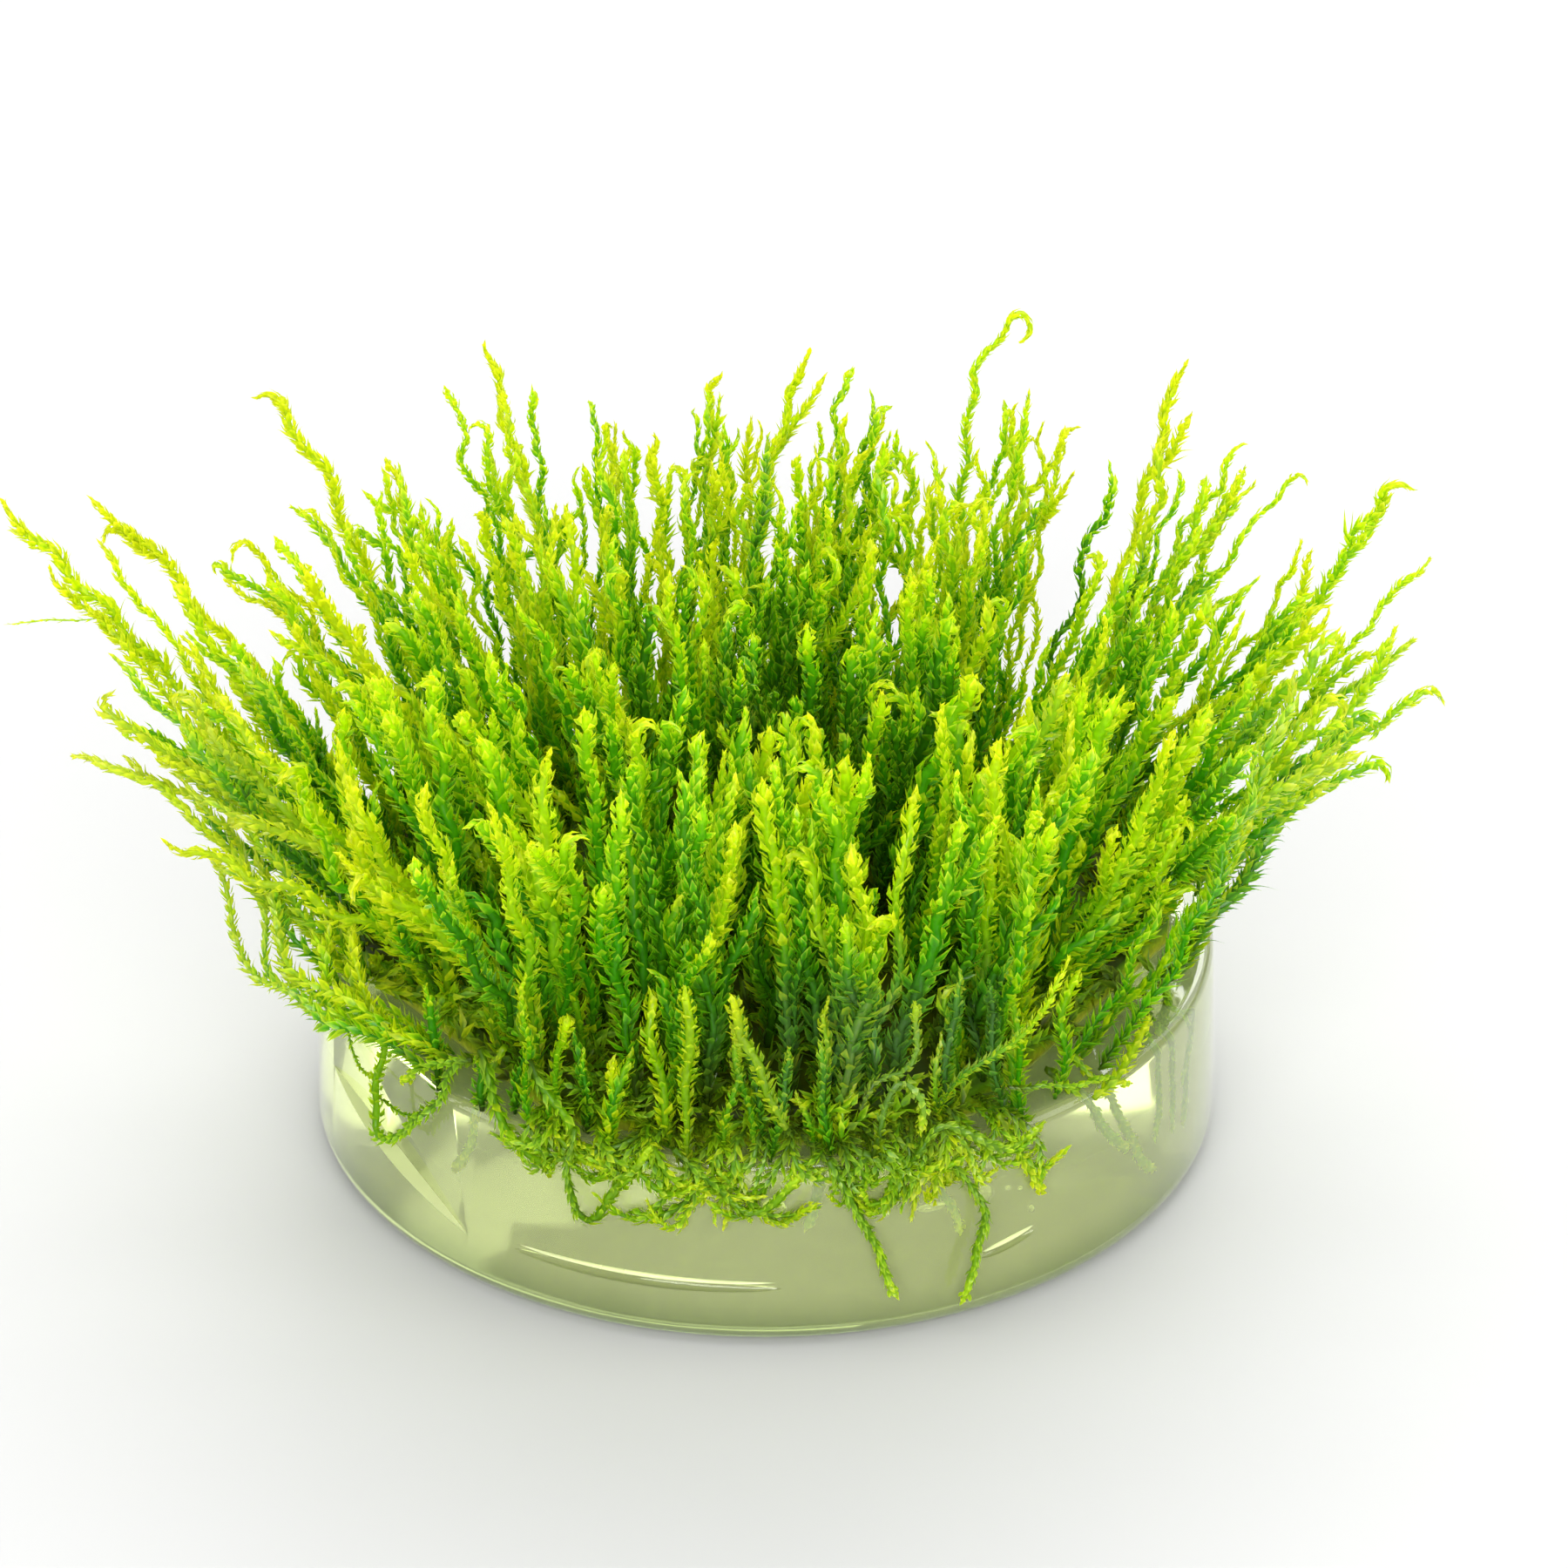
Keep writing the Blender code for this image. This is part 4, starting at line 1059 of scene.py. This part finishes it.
def layCreepers(heap, rng):
    # most creeping stems lie near the rim, where they show
    look = matLook
    centre = np.array((*layout["matCentre"], 0))
    for k in range(look["stems"]):
        reach = layout["matRadius"] * rng.random() ** 0.36
        a = rng.uniform(0, 2 * math.pi)
        spot = centre + np.array((reach * math.cos(a), reach * math.sin(a), pick(rng, look["stemBand"])))
        heading = rng.uniform(0, 2 * math.pi)
        points = [spot]
        for step in range(4):
            heading += rng.uniform(-0.9, 0.9)
            stride = np.array((math.cos(heading), math.sin(heading), rng.uniform(-0.25, 0.4)))
            nxt = points[-1] + look["stride"] * stride
            away = nxt[:2] - centre[:2]
            far = np.linalg.norm(away)
            limit = rimLimit(math.degrees(math.atan2(away[1], away[0])))
            if far > limit:
                nxt[:2] = centre[:2] + away / far * limit
                heading += 1.8
            nxt[2] = min(max(nxt[2], look["stemLow"]), look["stemHigh"])
            points.append(nxt)
        growShoot(heap, points, rng.uniform(0.24, 0.36), 0.85, 0.2, 1.2, "point", rng.uniform(0, 0.7), -0.5,
                  rng.uniform(0.0, 0.2), rng.uniform(0.3, 0.7), wave=0.1)


def hangFringe(heap, rng):
    # leafy stems that lean out over the rim and hang a little way down the wall, most of them in front
    look = matLook
    angles, drops = zip(*look["fringe"])
    for k in range(look["overhang"]):
        a = pick(rng, look["front"] if k % 5 else look["around"])
        if rimLimit(a) < 27.5:
            continue
        drop = float(np.interp(a, angles, drops)) * rng.uniform(0.1, 1.2)
        swing = rng.choice((-1, 1)) * rng.uniform(1, 8)
        off = rng.uniform(0.3, 0.9)
        path = [wallPoint(a - swing * 0.3, 14.8, -2.4), wallPoint(a, rng.uniform(14.6, 15.4), -0.8),
                wallPoint(a + swing * 0.3, 14.2, off), wallPoint(a + swing * 0.7, 13.6 - drop * 0.6, off)]
        roll = rng.random()
        if roll < 0.35:  # turns up again
            path += [wallPoint(a + swing * 1.2, 13.2 - drop, off + 0.2),
                     wallPoint(a + swing * 1.8, 13.8 - drop * 0.7, off + 0.7)]
        elif roll < 0.7:  # runs along the wall
            path += [wallPoint(a + swing * 1.3, 13.4 - drop, off),
                     wallPoint(a + swing * 2.0, 13.6 - drop, off)]
        else:  # hangs down
            path += [wallPoint(a + swing * 0.9, 13.2 - drop * 1.1, off)]
        growShoot(heap, path, rng.uniform(0.2, 0.4), rng.uniform(0.42, 0.72), 0.14, rng.uniform(0.6, 1.1),
                  rng.choice(("point", "blunt")), rng.uniform(0.0, 0.9), rng.uniform(0, 0.7), 0.05,
                  rng.uniform(0.35, 0.9), width=0.26, wave=0.2, flat=0.8)


def layStrands(heap):
    for girth, leaf, tone, off, points in strands:
        # thicker, and smooth in the gel
        more, stand, core = (1.6, 0.4, 0.86) if off < 0 else (1.2, 0.75, 0.62)
        growShoot(heap, [wallPoint(a, h, off) for a, h in points], girth * more, leaf * 0.9, 0.15, stand,
                  "blunt", tone, 0.3, 0.1, 0.95, kind="plain", width=0.3, wave=0.14, core=core)


def coverEdge(heap, rng):
    # short stems over the edge of the pad, where the mat is drawn in
    look = matLook
    for k in range(look["cover"]):
        a = pick(rng, look["coverLeft"] if k % 3 else look["coverRight"])
        off = rimLimit(a) * rng.uniform(0.78, 0.98) - topRadius
        swing, top = rng.choice((-1, 1)) * rng.uniform(3, 8), rng.uniform(16.3, 17.3)
        path = [wallPoint(a, 15.2, off - 0.5), wallPoint(a + 0.5 * swing, top, off),
                wallPoint(a + 1.2 * swing, top - 0.2, off + 0.3),
                wallPoint(a + 2 * swing, top - rng.uniform(-0.5, 1.2), off + 0.5)]
        growShoot(heap, path, rng.uniform(0.24, 0.38), rng.uniform(0.6, 0.85), 0.16, 1.1, "point",
                  rng.uniform(-0.1, 0.6), -0.5, rng.uniform(0.0, 0.15), rng.uniform(0.35, 0.8),
                  width=0.31, wave=0.2)


def makeMat():
    rng = random.Random(21)
    heap = [makePad()]
    layCreepers(heap, rng)
    hangFringe(heap, rng)
    layStrands(heap)
    coverEdge(heap, rng)
    return heap


print("mat made", becomePiece(makeMat(), "moss_mat_tangle", mossMaterials["mossMat"], "moss_mat"))


# the gel disc; lengths in millimetres, but what its materials use is in metres
gelLook = {
    "radius": 30.0, "topRadius": 29.5, "height": 13.5, "foot": 1.8, "rim": 0.8, "sides": 192, "sharp": 28,
    "through": 0.8, "torn": 0.35, "ior": 1.335, "coatRoughness": 0.03,
    "smooth": (0.02, 0.07), "rough": (0.25, 0.5),
    # the darker tint at the foot is painted shade
    "tint": (0.92, 1.0, 0.5, 1), "shadedFootTint": (0.34, 0.45, 0.19, 1), "absorb": (0.68, 0.78, 0.24, 1),
    "density": 8, "shadedFootBand": (0.0008, 0.0056), "shadedFootWander": 0.002,
    "cloud": 90, "ripple": 110, "bumpStrength": 0.3, "bumpDepth": 0.0002,
    # the slab that is split off: (angle, height) where its ledge starts and ends, and the cutter's reach
    "chip": ((199, 8.3), (231, 4.0), 8),
    # slits in the wall: (angle, height, half length, half height, depth, rise over its length)
    "slits": ((255, 4.4, 9.0, 0.42, 0.5, 0.0), (301, 4.9, 2.0, 0.38, 0.45, 0.35)),
    # bubbles: (angle, height, depth below the wall, half sizes)
    "bubbles": ((291.5, 8.4, 1.6, (1.15, 0.5, 0.42)), (285.5, 8.3, 1.9, (0.3, 0.3, 0.25)),
                (302, 8.4, 1.3, (0.28, 0.2, 0.2)), (303.8, 8.1, 1.2, (0.25, 0.2, 0.2)),
                (298.3, 8.7, 0.9, (0.7, 0.35, 0.7)), (271, 9.8, 1.0, (0.9, 0.3, 0.75)),
                (262, 11.3, 4.0, (0.35, 0.35, 0.3)), (311, 3.8, 6.0, (0.3, 0.3, 0.3)),
                (233, 9.2, 7.0, (0.4, 0.4, 0.35))),
}


def turnOutwards(item):
    editWhere(item, lambda f: True, "FACE")
    bpy.ops.mesh.normals_make_consistent(inside=False)
    selectNothing()


def addBall(name, angle, height, deep, sizes, rise=0.0, segments=24, rings=12):
    # a long ball that follows the wall: half sizes are along the wall, into it and upwards
    selectNothing()
    bpy.ops.mesh.primitive_uv_sphere_add(segments=segments, ring_count=rings, radius=1)
    ball = bpy.context.object
    ball.name = name
    for vert in ball.data.vertices:
        turned = angle + math.degrees(vert.co.x * sizes[0] / gelLook["radius"])
        risen = height + vert.co.z * sizes[2] + rise * vert.co.x
        vert.co = wallPoint(turned, risen, vert.co.y * sizes[1] - deep) * mm
    turnOutwards(ball)
    return ball


def addWedge(start, end, reach):
    # a block outside the chord between two points of the wall; its underside slopes from one to the other
    selectNothing()
    bpy.ops.mesh.primitive_cube_add(size=2)
    wedge = bpy.context.object
    left, right = (Vector(wallPoint(*spot, 0)) for spot in (start, end))
    along = right - left
    out = Vector((along.y, -along.x, 0)).normalized()
    for vert in wedge.data.vertices:
        spot = left + along * (1.1 if vert.co.x > 0 else -0.1) + out * (reach if vert.co.y > 0 else 0)
        if vert.co.z > 0:
            spot.z = 20
        vert.co = spot * mm
    turnOutwards(wedge)
    for face in wedge.data.polygons:
        face.material_index = int(face.normal.z < -0.3)  # the ledge is torn, the rest clear
    return wedge


def carve(item, cutter, tool="DIFFERENCE"):
    cut = item.modifiers.new("cut", "BOOLEAN")
    cut.operation = tool
    cut.solver = "EXACT"
    cut.object = cutter
    applyModifiers(item)
    bpy.data.objects.remove(cutter)


def makeGelMaterial(name):
    look = gelLook
    clear = name == "clearGel"
    material, tree, surface = startMaterial(name)
    surface.inputs["Transmission Weight"].default_value = look["through"] if clear else look["torn"]
    surface.inputs["IOR"].default_value = look["ior"]
    surface.inputs["Coat Weight"].default_value = 1.0
    surface.inputs["Coat Roughness"].default_value = look["coatRoughness"]
    surface.inputs["Coat IOR"].default_value = look["ior"]
    place = addNode(tree, "ShaderNodeTexCoord").outputs["Object"]
    cloud = addNode(tree, "ShaderNodeTexNoise", values={"Scale": look["cloud"], "Detail": 3})
    join(tree, place, cloud.inputs["Vector"])
    roughness = mapRange(tree, cloud.outputs[0], 0.3, 0.7, *look["smooth" if clear else "rough"])
    join(tree, roughness, surface.inputs["Roughness"])
    # painted shade: the base colour darkens towards the foot, standing in for the dark band that shade under
    # the disc gives there
    parts = addNode(tree, "ShaderNodeSeparateXYZ")
    join(tree, place, parts.inputs[0])
    wander = mathNode(tree, "MULTIPLY", cloud.outputs[0], look["shadedFootWander"])
    height = mapRange(tree, mathNode(tree, "ADD", parts.outputs["Z"], wander), *look["shadedFootBand"])
    join(tree, mixColour(tree, height, look["shadedFootTint"], look["tint"]), surface.inputs["Base Color"])
    ripple = addNode(tree, "ShaderNodeTexNoise", values={"Scale": look["ripple"], "Detail": 1})
    join(tree, place, ripple.inputs["Vector"])
    bump = addNode(tree, "ShaderNodeBump",
                   values={"Strength": look["bumpStrength"], "Distance": look["bumpDepth"]})
    join(tree, ripple.outputs[0], bump.inputs["Height"])
    join(tree, bump.outputs[0], surface.inputs["Normal"])
    soak = addNode(tree, "ShaderNodeVolumeAbsorption",
                   values={"Color": look["absorb"], "Density": look["density"]})
    join(tree, soak.outputs[0], tree.nodes["Material Output"].inputs["Volume"])
    return material


def makeGel():
    look = gelLook
    selectNothing()
    bpy.ops.mesh.primitive_cylinder_add(vertices=look["sides"], radius=look["radius"] * mm,
                                        depth=look["height"] * mm, location=(0, 0, look["height"] * mm / 2))
    gel = bpy.context.object
    gel.name = "gel_body"
    gel.data.materials.append(makeGelMaterial("clearGel"))
    gel.data.materials.append(makeGelMaterial("tornGel"))
    bakePlace(gel)
    high = look["height"] * mm
    editWhere(gel, lambda v: v.co.z > high - 1e-6)
    scale = look["topRadius"] / look["radius"]
    bpy.ops.transform.resize(value=(scale, scale, 1), center_override=(0, 0, high))
    editWhere(gel, lambda e: all(v.co.z < 1e-6 for v in e.verts), "EDGE")
    bpy.ops.mesh.bevel(offset=look["foot"] * mm, segments=6, profile=0.5)
    editWhere(gel, lambda e: all(v.co.z > high - 1e-6 for v in e.verts), "EDGE")
    bpy.ops.mesh.bevel(offset=look["rim"] * mm, segments=4, profile=0.5)
    carve(gel, addWedge(*look["chip"]))
    for number, (angle, height, half, thick, depth, rise) in enumerate(look["slits"]):
        carve(gel, addBall(f"slit{number}", angle, height, 0, (half, depth, thick), rise, 48, 12))
        # the gel swells a little above the slit
        lip = addBall(f"lip{number}", angle, height + thick, 0.06, (0.95 * half, 0.2, 0.16), rise, 48, 8)
        for face in lip.data.polygons:
            face.material_index = 1
        carve(gel, lip, "UNION")
    for number, (angle, height, deep, sizes) in enumerate(look["bubbles"]):
        carve(gel, addBall(f"bubble{number}", angle, height, deep, sizes))
    selectNothing()
    gel.data.shade_smooth()
    gel.data.set_sharp_from_angle(angle=math.radians(look["sharp"]))
    return gel


gelPiece = makeGel()
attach(gelPiece, "root")
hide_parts("gel_disc")
print("gel made", len(gelPiece.data.polygons))


# floor, light and camera
studio = {
    "floor": 0.56, "floorRoughness": 0.6, "floorSize": 4, "floorDrop": 0.00005, "worldStrength": 0.28,
    # name, place, what it points at, width, height, watts
    "lights": (("backPanel", (0, 0.5, 0.46), (0, 0, 0.03), 0.9, 0.34, 3.7),
               ("backdrop", (0.5, 1.0, 0.62), (0, 0, 0.1), 1.6, 0.66, 4.8),
               ("topPanel", (0, 0.0, 0.6), (0, 0, 0), 0.5, 0.5, 1.5),
               ("frontPanel", (0, -0.62, 0.3), (0, 0, 0.02), 0.7, 0.4, 6.0),
               ("leftPanel", (-0.6, -0.1, 0.3), (0, 0, 0.02), 0.4, 0.4, 1.2),
               ("rightPanel", (0.6, -0.1, 0.3), (0, 0, 0.02), 0.4, 0.4, 1.2)),
    "camera": {"aim": (0.0012, 0, 0.0238), "pitch": 29.4, "distance": 0.4, "lens": 140.9, "sensor": 36},
}


def makeFloor():
    selectNothing()
    bpy.ops.mesh.primitive_plane_add(size=studio["floorSize"], location=(0, 0, -studio["floorDrop"]))
    floor = bpy.context.object
    floor.name = "floor"
    material, tree, surface = startMaterial("paleFloor")
    surface.inputs["Base Color"].default_value = (studio["floor"],) * 3 + (1,)
    surface.inputs["Roughness"].default_value = studio["floorRoughness"]
    floor.data.materials.append(material)


def makeLights():
    world = bpy.data.worlds.new("studio")
    world.use_nodes = True
    scene.world = world
    sky = world.node_tree.nodes["Background"].inputs
    sky["Color"].default_value = (1, 1, 1, 1)
    sky["Strength"].default_value = studio["worldStrength"]
    for name, place, target, wide, high, power in studio["lights"]:
        data = bpy.data.lights.new(name, "AREA")
        data.shape = "RECTANGLE"
        data.size, data.size_y = wide, high
        data.energy = power
        lamp = bpy.data.objects.new(name, data)
        scene.collection.objects.link(lamp)
        lamp.location = place
        lamp.rotation_euler = (Vector(target) - Vector(place)).to_track_quat("-Z", "Y").to_euler()


def makeCamera():
    look = studio["camera"]
    data = bpy.data.cameras.new("camera")
    data.lens = look["lens"]
    data.sensor_width = look["sensor"]
    camera = bpy.data.objects.new("camera", data)
    scene.collection.objects.link(camera)
    pitch = math.radians(look["pitch"])
    away = Vector((0, -math.cos(pitch), math.sin(pitch)))
    camera.location = Vector(look["aim"]) + away * look["distance"]
    camera.rotation_euler = (math.pi / 2 - pitch, 0, 0)
    data.clip_start, data.clip_end = 0.01, 20
    scene.camera = camera


makeFloor()
makeLights()
makeCamera()
scene.view_settings.view_transform = "Standard"
print("studio set")
faceCounts = {item.name: sum(len(face.vertices) - 2 for face in item.data.polygons)
              for item in scene.objects if item.type == "MESH" and item.visible_get()}
print("triangles in all", sum(faceCounts.values()), "most in one", max(faceCounts.values()))
